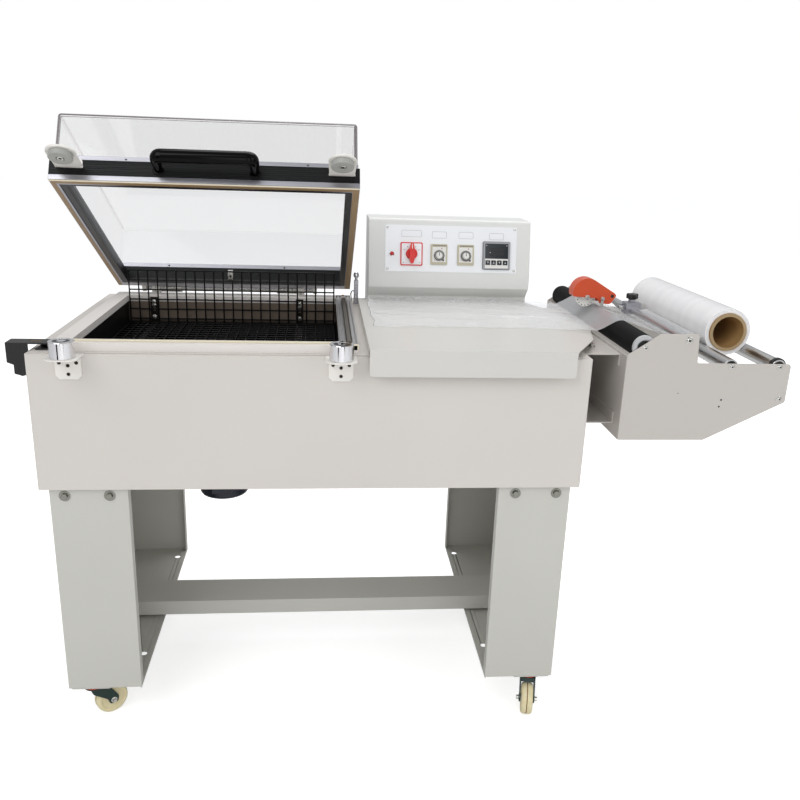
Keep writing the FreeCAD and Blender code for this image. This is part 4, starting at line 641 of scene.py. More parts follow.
for name, (x, y, angle) in castors.items():
    seat = stack(shift(x, y, 0))
    work = bmesh.new()
    addOutline(work, roundCorners([(-46, -30), (46, -30), (46, 30), (-46, 30)], 7), 3, seat @ shift(0, 0, 94))
    addTurned(work, [(0, 94), (25, 94), (25, 92.6), (23.2, 91.5), (22, 89.5), (22.4, 88), (23.4, 87), (0, 87)], seat, 0)
    addTurned(work, [(4.9, 87), (4.9, 81), (0, 81)], seat, 0, 20)
    addTurned(work, [(7, 82.2), (7, 78), (5.6, 77.2), (0, 77.2)], seat, 0, 6)
    for sx in (-36, 36):
        for sy in (-21, 21):
            addScrew(work, seat @ shift(sx, sy, 94) @ turn(180, "X"), 5.4, 0, None, 0.4)
    addTurned(work, [(22.3, 88.9), (24.6, 88.7), (25.2, 88.0), (24.6, 87.2), (22.3, 87.0)], seat, 1)
    finishPiece("castorTop_" + name, work, [zincPlate, orangeRing], "base", 0.2,
                ("steel_fittings",))

    hub = seat @ turn(angle, "Z")
    wheelBody = bodyOf["castor_wheel_" + name]
    forkBody = bodyOf["castor_fork_" + name]
    work = bmesh.new()
    addTurned(work, [(22.5, 83.2), (24, 83.4), (24.6, 84.2), (23.8, 85.6), (21, 86.7), (5.3, 86.7), (5.3, 82.9),
                     (20.5, 82.9)], hub, 0)
    cheek = roundCorners([(-17, 86.2, 6), (24, 86.2, 9), (33, 70, 10), (49, 44, 8), (46, 28.5, 8), (27, 28.5, 8),
                          (22, 44, 12), (-10, 70, 10)], 6, 6)
    for near in (-wheelForm["gap"], wheelForm["gap"] + wheelForm["cheek"]):
        addOutline(work, cheek, wheelForm["cheek"], hub @ shift(0, near, 0) @ frontward)
    crown = [(-16, 86.2), (24, 86.2), (29.6, 78), (27.4, 76.9), (22.6, 83.2), (-16, 83.2)]
    addOutline(work, crown, 31, hub @ shift(0, 15.5, 0) @ frontward)
    for side in (-1, 1):
        addTube(work, [(-12, side * 17, 84.2), (22, side * 17, 84.2)], 2.2, hub, 0, 8)
        place = hub @ shift(36, side * 18.4, 37.5) @ turn(-90 * side, "X")
        addHexBolt(work, place, 7.4, 9.0, 1)
    axle = hub @ shift(36, -15.6, 37.5) @ turn(-90, "X")
    addTurned(work, [(0, 0), (4, 0), (4, 31.2), (0, 31.2)], axle, 1, 20)
    finishPiece("castorFork_" + name, work, [greenCoat, zincPlate], forkBody, 0.5,
                ("castor_fork_" + name,))

    tread = [(4.1, -14), (10.5, -14), (11.6, -13), (12, -11.2), (14.5, -10.4), (23.5, -10.4), (25.8, -11.2),
             (27.6, -13.1), (30, -13.9), (33, -13.4), (35.6, -11.4), (37, -8), (37.45, -4), (37.3, -1.2), (36.5, -0.9),
             (36.5, 0.9), (37.3, 1.2), (37.45, 4), (37, 8), (35.6, 11.4), (33, 13.4), (30, 13.9), (27.6, 13.1),
             (25.8, 11.2), (23.5, 10.4), (14.5, 10.4), (12, 11.2), (11.6, 13), (10.5, 14), (4.1, 14)]
    skins = [0 if 12.2 < (a[0] + b[0]) / 2 else 2 for a, b in zip(tread, tread[1:])] + [2]
    skins[13] = skins[14] = skins[15] = 1
    work = bmesh.new()
    addTurned(work, tread, hub @ shift(36, 0, 37.5) @ turn(-90, "X"), 0, 64, skins)
    finishPiece("castorWheel_" + name, work, [creamTyre, seamBrown, greyCap], wheelBody,
                0.0, ("castor_wheel_" + name,))
print("castors ready")


# ---- heat chamber ----

chamber = {"x": (84, 632), "y": (64, 562), "tray_low": 845.0, "wire": 1.5, "mesh_wire": 1.9, "pitch": 25, "mesh_y": 571,
           "mesh_low": 848.0, "mesh_top": 988.0, "hanger_x": (148, 537)}

work = bmesh.new()
w = chamber["wire"]
for y in counted(chamber["y"][0] + w, chamber["y"][1] - w, chamber["pitch"]):
    addTube(work, [(chamber["x"][0], y, chamber["tray_low"]), (chamber["x"][1], y, chamber["tray_low"])], w, layout, 0, 8)
for x in counted(chamber["x"][0] + w, chamber["x"][1] - w, chamber["pitch"]):
    addTube(work, [(x, chamber["y"][0], chamber["tray_low"] + 2 * w), (x, chamber["y"][1], chamber["tray_low"] + 2 * w)],
            w, layout, 0, 8)
finishPiece("wireTray", work, wireCoat, "base", 0.0, ("tray_grid",), 60)

work = bmesh.new()
w = chamber["mesh_wire"]
for z in counted(chamber["mesh_low"] + 8, chamber["mesh_top"] - w, chamber["pitch"]):
    addTube(work, [(chamber["x"][0], chamber["mesh_y"], z), (chamber["x"][1], chamber["mesh_y"], z)], w, layout, 0, 8)
for x in counted(chamber["x"][0] + w, chamber["x"][1] - w, chamber["pitch"]):
    addTube(work, [(x, chamber["mesh_y"] - 2 * w, chamber["mesh_low"]), (x, chamber["mesh_y"] - 2 * w, chamber["mesh_top"])],
            w, layout, 0, 8)
finishPiece("rearMesh", work, wireCoat, "base", 0.0, ("rear_mesh",), 60)

# Slotted strips: the slots are real gaps between short blocks, and a bolt stands in every second one
work = bmesh.new()
slots = counted(860.5, 901.5, 20)
for x in chamber["hanger_x"]:
    for side in (-1, 1):
        addBlock(work, x + min(side * 3, side * 10), x + max(side * 3, side * 10), 573, 576, 840.5, 913.5, layout, 2)
    edges = [840.5] + [z + s for z in slots for s in (-5, 5)] + [913.5]
    for low, high in zip(edges[::2], edges[1::2]):
        if high > low:
            addBlock(work, x - 3, x + 3, 573, 576, low, high, layout, 2)
    addBlock(work, x - 10, x + 10, 60, 576, 837.5, 840.5, layout, 2)
    addBlock(work, x - 10, x + 10, 60, 63, 819.5, 837.5, layout, 2)
    for z in slots[::2] + [893]:
        addHexBolt(work, stack(shift(x, 569.6, z), frontward), 6.0, 7.0)
for z0, z1, skin in ((961, 965, 1), (966, 985, 0), (985.5, 988.5, 1)):    # clip over the mesh's top edge
    addBlock(work, 347, 360, 562.9, 565.1, z0, z1, layout, skin)
addBlock(work, 347, 360, 562.9, 577, 988.5, 990.5, layout, 0)
addBlock(work, 347, 360, 574.6, 577, 970, 988.5, layout, 0)
addTurned(work, [(0, 0), (3.6, 0), (3.6, 1.4), (0, 2)], stack(shift(353.5, 562.9, 975.5), frontward), 1, 24)
finishPiece("meshHangers", work, [zincPlate, blackPlastic, darkSteel], "base", 0.3, ("steel_fittings",))

heaters = {"x": (64, 606), "y": ((138, 198), (438, 498)), "z": 735, "r": 5}
work = bmesh.new()
for a, b in heaters["y"]:
    path = bendPath([(heaters["x"][0], a, 735), (heaters["x"][1] + 14, a, 735), (heaters["x"][1] + 14, b, 735),
                     (heaters["x"][0], b, 735)], 29, 8)
    addTube(work, path, heaters["r"] - 0.1, layout, 0, 12)
finishPiece("heaterTubes", work, heaterSheath, "base", 0.0, ("heater_tubes",), 50)

# Right seal rails: two silver extrusions with a dark groove, a cream block in front and a black one behind
rails = {"x": (636.5, 676.0), "y": (24, 627), "low": 907.5, "top": 917.5, "block": 12}
work = bmesh.new()
profile = [(0, 0), (13, 0), (13, 10), (9.4, 10), (9.4, 8.2), (8.2, 7.6), (4.8, 7.6), (3.6, 8.2), (3.6, 10), (0, 10)]
for x in (636.5, 663.0):
    addOutline(work, [(x + px, 907.5 + pz) for px, pz in profile], 579,
               stack(shift(0, rails["y"][1] - rails["block"], 0), frontward))
finishPiece("sealRails", work, anodisedY, "base", 0.5, ("side_seal_rails",))
work = bmesh.new()
addBlock(work, 636.6, 675.9, 24, 36, 907.5, 917.8, layout, 0)
addBlock(work, 636.6, 675.9, 615, 627, 907.5, 917.8, layout, 1)
addScrew(work, stack(shift(656, 32, 917.8)), 3.4, 1)
addScrew(work, stack(shift(656, 621, 917.8)), 3.8, 2)
finishPiece("railEndBlocks", work, [creamSilicone, blackPlastic, brass], "base", 0.8)
dress("seal_strips", "sealStrips", stripSilicone, 0.9)

# Lid switch: a silver post with a domed roller and two thin leads
post = {"x": 692, "y": 600, "low": 900, "top": 965}
work = bmesh.new()
addOutline(work, roundCorners([(-6, -6), (6, -6), (6, 6), (-6, 6)], 1.5, 3), 65, stack(shift(692, 600, 900)), 0)
addTurned(work, [(0, 0), (4, 0), (4, 7), (6.6, 8.4), (8, 12), (7.6, 17), (5.4, 21.5), (2.4, 22.9), (0, 23)],
          stack(shift(692, 600, 965)), 1, 32)
addScrew(work, stack(shift(692, 594, 952), frontward), 3.2, 1)
addScrew(work, stack(shift(692, 594, 918), frontward), 3.2, 1)
finishPiece("lidSwitch", work, [anodisedX, chromePlate], "base", 0.4, ("steel_fittings",))
work = bmesh.new()
for k in (0, 1):
    addTube(work, bendPath([(689 + 3 * k, 606.6, 930 - 8 * k), (684, 614, 936), (679 - 2 * k, 622, 926), (681, 628, 901)],
                           9, 5), 0.9, layout, 0, 6)
finishPiece("switchLeads", work, blackPlastic, "base", 0.0, (), 60)
print("chamber ready")


# ---- lid, drawn closed and placed at its 30 degree rest ----

lid = {"x": (45, 676), "y": (24, 627), "low": 921.5, "ring": 932.5, "black": 966.5, "wide": 30, "hood_x": (49, 672),
       "hood_y": (36, 612), "hood_top": 1080, "wall": 5, "handle": (360.5, 951.5)}
magnetX = (85.6, 638.4)


def lidStack(*moves):
    place = lidPlace.copy()
    for move in moves:
        place = place @ move
    return place


def frameRing(work, outer, inner, z0, z1, place, skin=0, under=None):
    """Four mitred lengths of flat bar, outer and inner given as x0, x1, y0, y1."""
    def four(b, z):
        return [work.verts.new(place @ Vector((x, y, z))) for x, y in ((b[0], b[2]), (b[1], b[2]), (b[1], b[3]), (b[0], b[3]))]
    outLow, outHigh, inLow, inHigh = four(outer, z0), four(outer, z1), four(inner, z0), four(inner, z1)
    for i in range(4):
        j = (i + 1) % 4
        addFace(work, [outLow[i], outLow[j], outHigh[j], outHigh[i]], skin)
        addFace(work, [inLow[j], inLow[i], inHigh[i], inHigh[j]], skin)
        addFace(work, [outHigh[i], outHigh[j], inHigh[j], inHigh[i]], skin)
        addFace(work, [outLow[j], outLow[i], inLow[i], inLow[j]], skin if under is None else under)


# Ring: a silver channel with a black band just inside it, seen from below, which is painted shade for the shadowed gap
# there
work = bmesh.new()
frameRing(work, (45, 676, 24, 627), (61, 660, 46, 605), 921.5, 932.5, lidPlace, 0)
# Painted shade: the inner band is black for the shadowed gap inside the ring
frameRing(work, (61, 660, 46, 605), (75, 646, 54, 597), 922.6, 932.5, lidPlace, 1)
finishPiece("lidRing", work, [anodisedX, blackPlastic], "lid", 0.5, ("lid_frame",))

# Silver angle strips that hold the hood, with their small black screws
work = bmesh.new()
addOutline(work, [(24, 966.5), (36, 966.5), (36, 981.5), (34.4, 981.5), (34.4, 968.4), (24, 968.4)], 625,
           lidStack(shift(48, 0, 0), sideways), 0)
for x0 in (47, 672):
    addBlock(work, x0, x0 + 2, 40, 612, 932.5, 947.5, lidPlace, 0)
addBlock(work, 47, 674, 612, 614, 932.5, 947.5, lidPlace, 0)
addBlock(work, 56, 665, 605.3, 606.9, 966.5, 979.5, lidPlace, 0)
for x in (194, 381, 567):
    addScrew(work, lidStack(shift(x, 34.4, 975), frontward), 2.4, 1, 1)
for x in (181, 494):
    addScrew(work, lidStack(shift(x, 605.3, 973), frontward), 2.6, 1, 1)
for y in (90, 200, 310, 420, 530):
    addScrew(work, lidStack(shift(47, y, 940), turn(-90, "Y")), 2.6, 2, 1)
    addScrew(work, lidStack(shift(674, y, 940), turn(90, "Y")), 2.6, 2, 1)
finishPiece("hoodStrips", work, [anodisedX, blackPlastic, zincPlate], "lid", 0.3, ("lid_frame",))

# Black front bar: an extrusion with fine grooves; grey bars inside the side walls, a black one behind
work = bmesh.new()
edge = [(36, 932.5), (24, 932.5)]
for z in (935.5, 939.0, 942.5, 948.0, 951.5, 957.0, 960.5, 963.5):
    edge += [(24, z - 0.5), (24.5, z - 0.25), (24.5, z + 0.25), (24, z + 0.5)]
edge += [(24, 966.5), (36, 966.5)]
addOutline(work, edge, 631, lidStack(shift(45, 0, 0), sideways), 0)
addBlock(work, 54, 667, 599, 607, 932.5, 966.5, lidPlace, 0)
finishPiece("blackBars", work, blackAnodised, "lid", 0.5, ("lid_bars",))
work = bmesh.new()
for x0, x1, lip in ((54, 64, 64), (657, 667, 657)):
    addBlock(work, x0, x1, 41, 599, 932.5, 966.5, lidPlace, 0)
for k, z in enumerate((938, 961)):
    addBlock(work, 63.9, 64.6, 41.2, 598.8, z - 1.2, z + 1.2, lidPlace, 1)
    addBlock(work, 656.4, 657.1, 41.2, 598.8, z - 1.2, z + 1.2, lidPlace, 1)
finishPiece("sideBars", work, [sideAnodised, anodisedY], "lid", 0.4, ("lid_bars",))

# Tape: laid over the sealing bars, with the cream silicone edge below the front strip
work = bmesh.new()
addOutline(work, roundCorners([(46, 25), (675, 25), (675, 41), (46, 41)], 3, 3), 0.5, lidStack(shift(0, 0, 921)), 0)
for x0, wide in ((46, 10), (661, 14)):
    addBlock(work, x0, x0 + wide, 41, 623, 921, 921.5, lidPlace, 0)
finishPiece("sealTape", work, tanTape, "lid", 0.15, ("lid_tape",))
work = bmesh.new()
addOutline(work, [(24.2, 919.4), (26.5, 918.6), (28, 920.9), (24.2, 920.9)], 629, lidStack(shift(46, 0, 0), sideways), 0)
finishPiece("siliconeEdge", work, creamSilicone, "lid", 0.3)

# Hood: one bent and glued acrylic box; its corners carry a painted dark reflection of the surroundings, its top edge
# two painted pale lines as painted highlights
hoodSteps = 4


def hoodRing(inset, z, radius):
    x0, x1 = lid["hood_x"][0] + inset, lid["hood_x"][1] - inset
    y0, y1 = lid["hood_y"][0] + inset, lid["hood_y"][1] - inset
    return [(x, y, z) for x, y in roundCorners([(x0, y0), (x1, y0), (x1, y1), (x0, y1)], radius, hoodSteps)]


rounding = 7
outer = [(0, lid["ring"]), (0, lid["hood_top"] - rounding)]
outer += [(rounding * (1 - math.cos(a)), lid["hood_top"] - rounding * (1 - math.sin(a)))
          for a in (math.radians(k) for k in (22.5, 45, 67.5, 90))]
innerTop = lid["hood_top"] - lid["wall"]
inner = [(rounding, innerTop), (5.9, innerTop - 0.6), (5.2, innerTop - 1.4), (5.0, innerTop - 2.4), (5.0, lid["ring"])]
work = bmesh.new()
rings = [[work.verts.new(lidPlace @ Vector(p)) for p in hoodRing(i, z, max(7.0 - i, 1.2))] for i, z in outer + inner]
count = len(rings[0])
outerTop = len(outer) - 1
for k in range(len(rings) - 1):
    if k == outerTop:
        continue
    for i in range(count):
        j = (i + 1) % count
        corner = i <= 2 * hoodSteps and (i != hoodSteps or k not in (0, len(rings) - 2))    # the front corners and top edge
        rolled = k not in (0, len(rings) - 2) and i in (2 * hoodSteps + 1, 4 * hoodSteps + 3)
        pane = 3 if i == hoodSteps else 4 if 2 * hoodSteps + 1 < i < 4 * hoodSteps + 3 else 0    # front, rear and side walls
        addFace(work, [rings[k][i], rings[k][j], rings[k + 1][j], rings[k + 1][i]], 2 if rolled else (1 if corner else pane))
addFace(work, rings[outerTop], 0)
addFace(work, rings[outerTop + 1][::-1], 0)
for i in range(count):
    j = (i + 1) % count
    addFace(work, [rings[0][i], rings[0][j], rings[-1][j], rings[-1][i]], 1)
finishPiece("clearHood", work, [castAcrylic, acrylicCornerPaintedShade, acrylicFoldPaintedHighlight, frontAcrylic, shadedRearAcrylic], "lid", 0.0,
            ("lid_hood",), 40)

# Handle: one glossy black bow, its grip fuller in the middle and its feet drawn in towards the bar
hx, hz = lid["handle"]
path = bendPath([(hx - 98, 24, hz - 3), (hx - 98, 4, hz + 1), (hx - 98, -23, hz + 4), (hx + 98, -23, hz + 4),
                 (hx + 98, 4, hz + 1), (hx + 98, 24, hz - 3)], 24, 8)
work = bmesh.new()
loops = []
total = len(path)
for i, p in enumerate(path):
    ahead = ((path[i + 1] if i < total - 1 else p) - (path[i - 1] if i else p)).normalized()
    away = Vector((0, 0, 1)) - ahead * ahead.z
    away.normalize()
    across = ahead.cross(away)
    depth = min(1.0, max(0.0, (p.y + 23) / 47))
    wide = 11.8 - 3.4 * depth
    tall = 14.6 - 6.2 * depth
    loops.append([work.verts.new(lidPlace @ (p + across * wide * math.cos(2 * math.pi * k / 20)
                                             + away * tall * math.sin(2 * math.pi * k / 20))) for k in range(20)])
for a, b in zip(loops, loops[1:]):
    for k in range(20):
        n = (k + 1) % 20
        addFace(work, [a[k], a[n], b[n], b[k]], 0)
addFace(work, loops[0][::-1], 0)
addFace(work, loops[-1], 0)
for side in (-1, 1):
    addTurned(work, [(0, 0), (11.5, 0), (11.8, 1), (11, 2.2), (9.2, 2.8), (0, 3)],
              lidStack(shift(hx + side * 98, 24, hz - 3), frontward), 0, 28)
finishPiece("lidHandle", work, blackNylon, "lid", 0.0, ("lid_handle",), 60)

# Clamp brackets: thick bent plates with a round end; grey armature discs below them, held by one socket screw
work = bmesh.new()
for x in magnetX:
    bow = [(x + 29 * math.cos(a), -33 + 29 * math.sin(a)) for a in (math.radians(180 + 10 * k) for k in range(19))]
    tip = roundCorners([(x + 29, 20, 4), (x + 26, 24, 0), (x - 26, 24, 0), (x - 29, 20, 4)], 3, 3)
    addOutline(work, bow + tip, 4, lidStack(shift(0, 0, 947.5)), 0)
    tab = roundCorners([(x - 26, 947.5, 0), (x + 26, 947.5, 0), (x + 26, 966.4, 6), (x - 26, 966.4, 6)], 5, 4)
    addOutline(work, tab, 4, lidStack(shift(0, 24, 0), frontward), 0)
    for side in (-1, 1):
        addScrew(work, lidStack(shift(x + side * 15, 20, 959.5), frontward), 3.4, 1, 2)
    addTurned(work, [(0, 0), (8.2, 0), (8.2, 1.2), (0, 1.4)], lidStack(shift(x, -33, 951.5)), 1, 32)
    addHexBolt(work, lidStack(shift(x, -33, 952.6)), 7.6, 9.5, 1)
finishPiece("clampPlates", work, [bracketCoat, zincPlate, blackPlastic], "lid", 0.9,
            ("clamp_brackets",))
work = bmesh.new()
for x in magnetX:
    place = lidStack(shift(x, -33, 0))
    # Painted shade: the recess round the screw and the screw's socket take the black skin
    addTurned(work, [(0, 947.4), (22.6, 947.4), (23.4, 946.6), (23.4, 936.8), (22.4, 935.8), (8.6, 935.6), (7.2, 938.6),
                     (0, 938.6)], place, 0, 64, [0, 0, 0, 0, 0, 0, 2])
    head = [(6.4, 938.5), (6.4, 936.6), (5.8, 936.0), (3.2, 936.0), (3.0, 937.8), (0, 937.8)]
    addTurned(work, head, place, 1, 36, [1, 1, 1, 2, 2])
finishPiece("armatureDiscs", work, [discGrey, zincPlate, blackPlastic], "lid", 0.3,
            ("armature_discs",))

# Hinge: ground shaft with collars and clamped arms, cast bearings with their bolts, coiled torsion springs
hinge = {"y": 652, "z": 927, "arms": (104, 574), "bearings": (131, 529), "springs": (151.4, 468.6)}
work = bmesh.new()
shaft = lidStack(shift(96, hinge["y"], hinge["z"]), turn(90, "Y"))
addTurned(work, [(0, 8), (7.0, 8), (7.95, 9), (7.95, 487), (7.0, 488), (0, 488)], shaft, 0, 40)
for x in hinge["arms"]:
    arm = roundCorners([(615, 932.6, 0), (627, 932.6, 1), (644, 918, 4), (652, 913.2, 14), (665.8, 927, 14),
                        (652, 940.6, 14), (638, 941.6, 6), (615, 942.4, 1)], 4, 7)
    addOutline(work, arm, 10, lidStack(shift(x, 0, 0), sideways), 1)
    addHexBolt(work, lidStack(shift(x + 5, 621, 942.2)), 4.8, 6.0, 0)
finishPiece("hingeShaft", work, [groundSteel, bracketCoat], "lid", 0.5, ("hinge_shaft",))
work = bmesh.new()
for x in hinge["bearings"]:
    foot = [(634, 900), (682, 900), (682, 905.5), (680.5, 907), (668, 907), (668, 911), (668, 927)]
    crown = [(652 + 16 * math.cos(a), 927 + 16 * math.sin(a)) for a in (math.radians(15 * k) for k in range(1, 12))]
    addOutline(work, foot + crown + [(636, 927), (636, 909), (634, 907)], 8.6, stack(shift(x, 0, 0), sideways), 0)
    addOutline(work, foot + crown + [(636, 927), (636, 909), (634, 907)], 8.6, stack(shift(x + 11.4, 0, 0), sideways), 0)
    addTurned(work, [(8.1, 0), (14.6, 0), (14.6, 2.8), (8.1, 2.8)], stack(shift(x + 8.6, 652, 927), turn(90, "Y")), 1, 36)
    addBlock(work, x + 8.6, x + 11.4, 640, 664, 900, 913, layout, 0)
    addHexBolt(work, stack(shift(x + 10, 675, 907)), 5.6, 7.0, 1)
finishPiece("hingeBearings", work, [bracketCoat, zincPlate], "base", 0.5, ("hinge_bearings",))
work = bmesh.new()
for x0 in hinge["springs"]:
    turns, wire = 15, 1.9
    coil = []
    for k in range(turns * 18 + 1):
        a = 2 * math.pi * k / 18
        coil.append((x0 + wire + (60 - 2 * wire) * k / (turns * 18), 652 + 10.9 * math.cos(a), 927 + 10.9 * math.sin(a)))
    addTube(work, coil, wire, lidPlace, 0, 8)
finishPiece("torsionSprings", work, zincPlate, "lid", 0.0, ("lid_springs",), 60)
print("lid ready")


# ---- magnets on their brackets ----

work = bmesh.new()
for x in magnetX:
    pot = stack(shift(x, -33, 0))
    addTurned(work, [(0, 901), (24.2, 901), (25, 901.8), (25, 933.8), (24.3, 935), (17.2, 935), (17, 934.6), (17, 934)],
              pot, 0, 72)
    addTurned(work, [(17, 934), (8.5, 934), (8.5, 934.8), (8, 935), (0, 935)], pot, 1, 72, [1, 0, 0, 0])
finishPiece("holdingMagnets", work, [chromePlate, blackPlastic], "base", 0.0,
            ("holding_magnets",), 30)
work = bmesh.new()
for x in magnetX:
    shelf = roundCorners([(x - 32, 0, 0), (x - 32, -48, 6), (x - 20, -60, 6), (x + 20, -60, 6), (x + 32, -48, 6),
                          (x + 32, 0, 0)], 6, 4)
    addOutline(work, shelf, 3, stack(shift(0, 0, 898)), 0)
    plate = [(x - 26, 898.5), (x + 26, 898.5), (x + 26, 855), (x + 18, 847), (x - 18, 847), (x - 26, 855)]
    addOutline(work, plate, 4, stack(frontward), 0)
    addTurned(work, [(10.5, 0), (10.5, 3.4), (9.4, 4.4), (0, 4.4)], stack(shift(x, -33, 898), turn(180, "X")), 1, 30)
    for dx, z in ((-17, 882), (17, 882), (0, 876), (0, 858)):
        addScrew(work, stack(shift(x + dx, -4, z), frontward), 3.6, 2, 2)
finishPiece("magnetShelves", work, [bracketCoat, zincPlate, darkSteel], "base", 0.7, ("magnet_brackets",))
print("magnets ready")


# ---- fan motor under the cabinet, liner and impeller ----

work = bmesh.new()
seat = stack(shift(353, 300, 0))
body = [(0, 467), (18, 467), (22, 469), (40, 469), (42, 466.4), (52, 466.6), (57, 469), (59.9, 474)]
for z in range(500, 545, 8):
    body += [(59.9, z - 2.4), (57.6, z - 1.4), (57.6, z + 1.4), (59.9, z + 2.4)]
body += [(59.9, 551), (58, 557), (52, 560), (34, 560), (33.6, 596.6), (74.4, 596.6), (75, 597.2), (75, 600.4), (74.4, 601)]
addTurned(work, body, seat, 0, 72)
for k in range(4):
    spot = seat @ turn(45 + 90 * k, "Z") @ shift(64, 0, 597) @ turn(180, "X")
    addHexBolt(work, spot, 6.5, 8.0, 1)
addBlock(work, 329, 377, 236, 262, 486, 532, layout, 0)
finishPiece("fanMotor", work, [motorEnamel, zincPlate], "base", 0.5, ("fan_motor",), 28)
dress("chamber_liner", "chamberLiner", shadedChamberSteel, 0.4)
dress("fan_impeller", "fanImpeller", zincPlate, 0.4)


# ---- instruments on the sloping face ----

def faceStack(x, s, out):
    return facePlace @ shift(x, s, out)


work = bmesh.new()
addOutline(work, roundCorners([(767, 8), (1127, 8), (1127, 132), (767, 132)], 2.5, 4), 1.5, facePlace, 0)
for x in (773.5, 1120.5):
    for s in (14.5, 125.5):
        addTurned(work, [(0, 1.5), (3.4, 1.5), (3.4, 2.1), (2.4, 3.1), (0, 3.4)], faceStack(x, s, 0), 1, 24)
        addBlock(work, -2.3, 2.3, -0.35, 0.35, 3.2, 3.5, faceStack(x, s, 0) @ turn(x + s, "Z"), 2)
for x0, x1, s0, s1 in ((811, 865, 101, 118), (894, 933, 99, 116), (967, 1006, 99, 116), (1051, 1090, 98, 115)):
    label = [(x, s, 1.5) for x, s in roundCorners([(x0, s0), (x1, s0), (x1, s1), (x0, s1)], 2.5, 4)]
    addTube(work, label, 0.45, facePlace, 2, 6, True)
finishPiece("instrumentPlate", work, [panelAluminium, zincPlate, paleInk], "base", 0.25,
            ("control_panel",))

dash = {"row": 55, "lamp": 785, "switch": 838, "timers": (913, 986), "controller": 1071, "plate": 1.5}
work = bmesh.new()
addTurned(work, [(6.9, 1.5), (6.9, 2.6), (6.3, 3.4), (5.7, 3.5), (5.7, 2.5)], faceStack(dash["lamp"], dash["row"], 0), 0, 40)
addTurned(work, [(5.7, 2.6), (5.6, 5.4), (4.8, 7.2), (3.0, 8.2), (0, 8.5)], faceStack(dash["lamp"], dash["row"], 0), 1, 40)
finishPiece("pilotLamp", work, [chromePlate, redLens], "base", 0.0, ("panel_instruments",))

# Main switch: red base that shows as a frame, silver face with ticks at the three positions
work = bmesh.new()
place = faceStack(dash["switch"], dash["row"], 1.5)
addOutline(work, roundCorners([(-30, -31), (30, -31), (30, 31), (-30, 31)], 3.5, 5), 3.2, place, 0)
addOutline(work, roundCorners([(-27, -28), (27, -28), (27, 28), (-27, 28)], 2.5, 5), 4.0, place, 1)
for angle in (-60, -30, 0, 30, 60):
    addBlock(work, -0.5, 0.5, 20, 24.5, 3.9, 4.15, place @ turn(angle, "Z"), 2)
for x, s in ((-22, -23), (22, -23)):
    addScrew(work, place @ shift(x, s, 4.0), 2.2, 1, 2)
finishPiece("switchPlate", work, [redNylon, panelAluminium, darkInk], "base", 0.4,
            ("panel_instruments",))
work = bmesh.new()
grip = roundCorners([(-4, -26.5, 3), (4, -26.5, 3), (6.8, -11, 8), (6.8, 11, 8), (4, 26.5, 3), (-4, 26.5, 3),
                     (-6.8, 11, 8), (-6.8, -11, 8)], 3, 5)
turned = faceStack(dash["switch"], dash["row"], 5.9)
addTurned(work, [(0, 0), (15, 0), (15.5, 0.6), (15.5, 5.4), (14.4, 7.4), (12.8, 8), (0, 8)], turned, 0, 56)
addOutline(work, grip, 12, turned @ shift(0, 0, 7.9), 0)
addOutline(work, roundCorners([(-1.1, 12), (1.1, 12), (1.1, 25), (-1.1, 25)], 0.5, 2), 0.4, turned @ shift(0, 0, 19.8), 1)
addTurned(work, [(0, -4), (3.4, -4), (3.4, 0), (0, 0)], turned, 0, 20)
finishPiece("switchKnob", work, [redNylon, whiteAbs], "main_switch", 1.1, ("switch_knob",))

# Timers: beige cases, white faces, dark dial rings with pale ticks and a pale cap
for index, x in enumerate(dash["timers"]):
    work = bmesh.new()
    place = faceStack(x, dash["row"], 1.5)
    addOutline(work, roundCorners([(-22.5, -27.5), (22.5, -27.5), (22.5, 27.5), (-22.5, 27.5)], 2.2, 4), 4.6, place, 0)
    addOutline(work, roundCorners([(-18.5, -20.5), (18.5, -20.5), (18.5, 20), (-18.5, 20)], 1.4, 4), 5.0, place, 1)
    for k in range(9):
        addBlock(work, -16 + 4 * k, -13.4 + 4 * k, 22.2, 24.6, 4.5, 4.9, place, 2)
    for k in range(11):
        addBlock(work, -0.25, 0.25, 14.6, 16.8, 4.9, 5.1, place @ shift(0, -3, 0) @ turn(-150 + 30 * k, "Z"), 2)
    addTurned(work, [(0, 5), (1.5, 5), (1.4, 5.5), (0, 5.7)], place @ shift(7.5, 16.5, 0), 3, 20)
    addTurned(work, [(0, 5), (2.4, 5), (2.4, 5.8), (1.8, 6.3), (0, 6.4)], place @ shift(11.5, -15.2, 0), 4, 24)
    addTurned(work, [(0, 5), (1.5, 5), (1.4, 5.5), (0, 5.7)], place @ shift(-12.5, -15.2, 0), 0, 20)
    finishPiece("timerCase_%d" % (index + 1), work, [beigeAbs, whiteAbs, darkInk, redLens, blackPlastic], "base",
                0.5, ("panel_instruments",))
    work = bmesh.new()
    dial = faceStack(x, dash["row"] - 3, 6.9)
    addTurned(work, [(0, 0), (13.8, 0), (14, 0.4), (14, 2.4), (13.2, 3), (9, 3.2)], dial, 0, 56)
    addTurned(work, [(9, 3.2), (8.6, 3.4), (8.0, 7.2), (7.2, 8), (0, 8.1)], dial, 1, 40)
    for k in range(24):
        addBlock(work, -0.5, 0.5, 9.8, 12.4, 3.0, 3.25, dial @ turn(15 * k, "Z"), 2)
    addBlock(work, -0.8, 0.8, -0.5, 7.6, 7.9, 8.8, dial, 3)
    addTurned(work, [(0, -5), (3.4, -5), (3.4, 0), (0, 0)], dial, 0, 16)
    finishPiece("timerKnob_%d" % (index + 1), work, [blackPlastic, whiteAbs, whiteAbs, darkInk], "timer_%d" % (index + 1),
                0.25, ("timer_dial_%d" % (index + 1),))

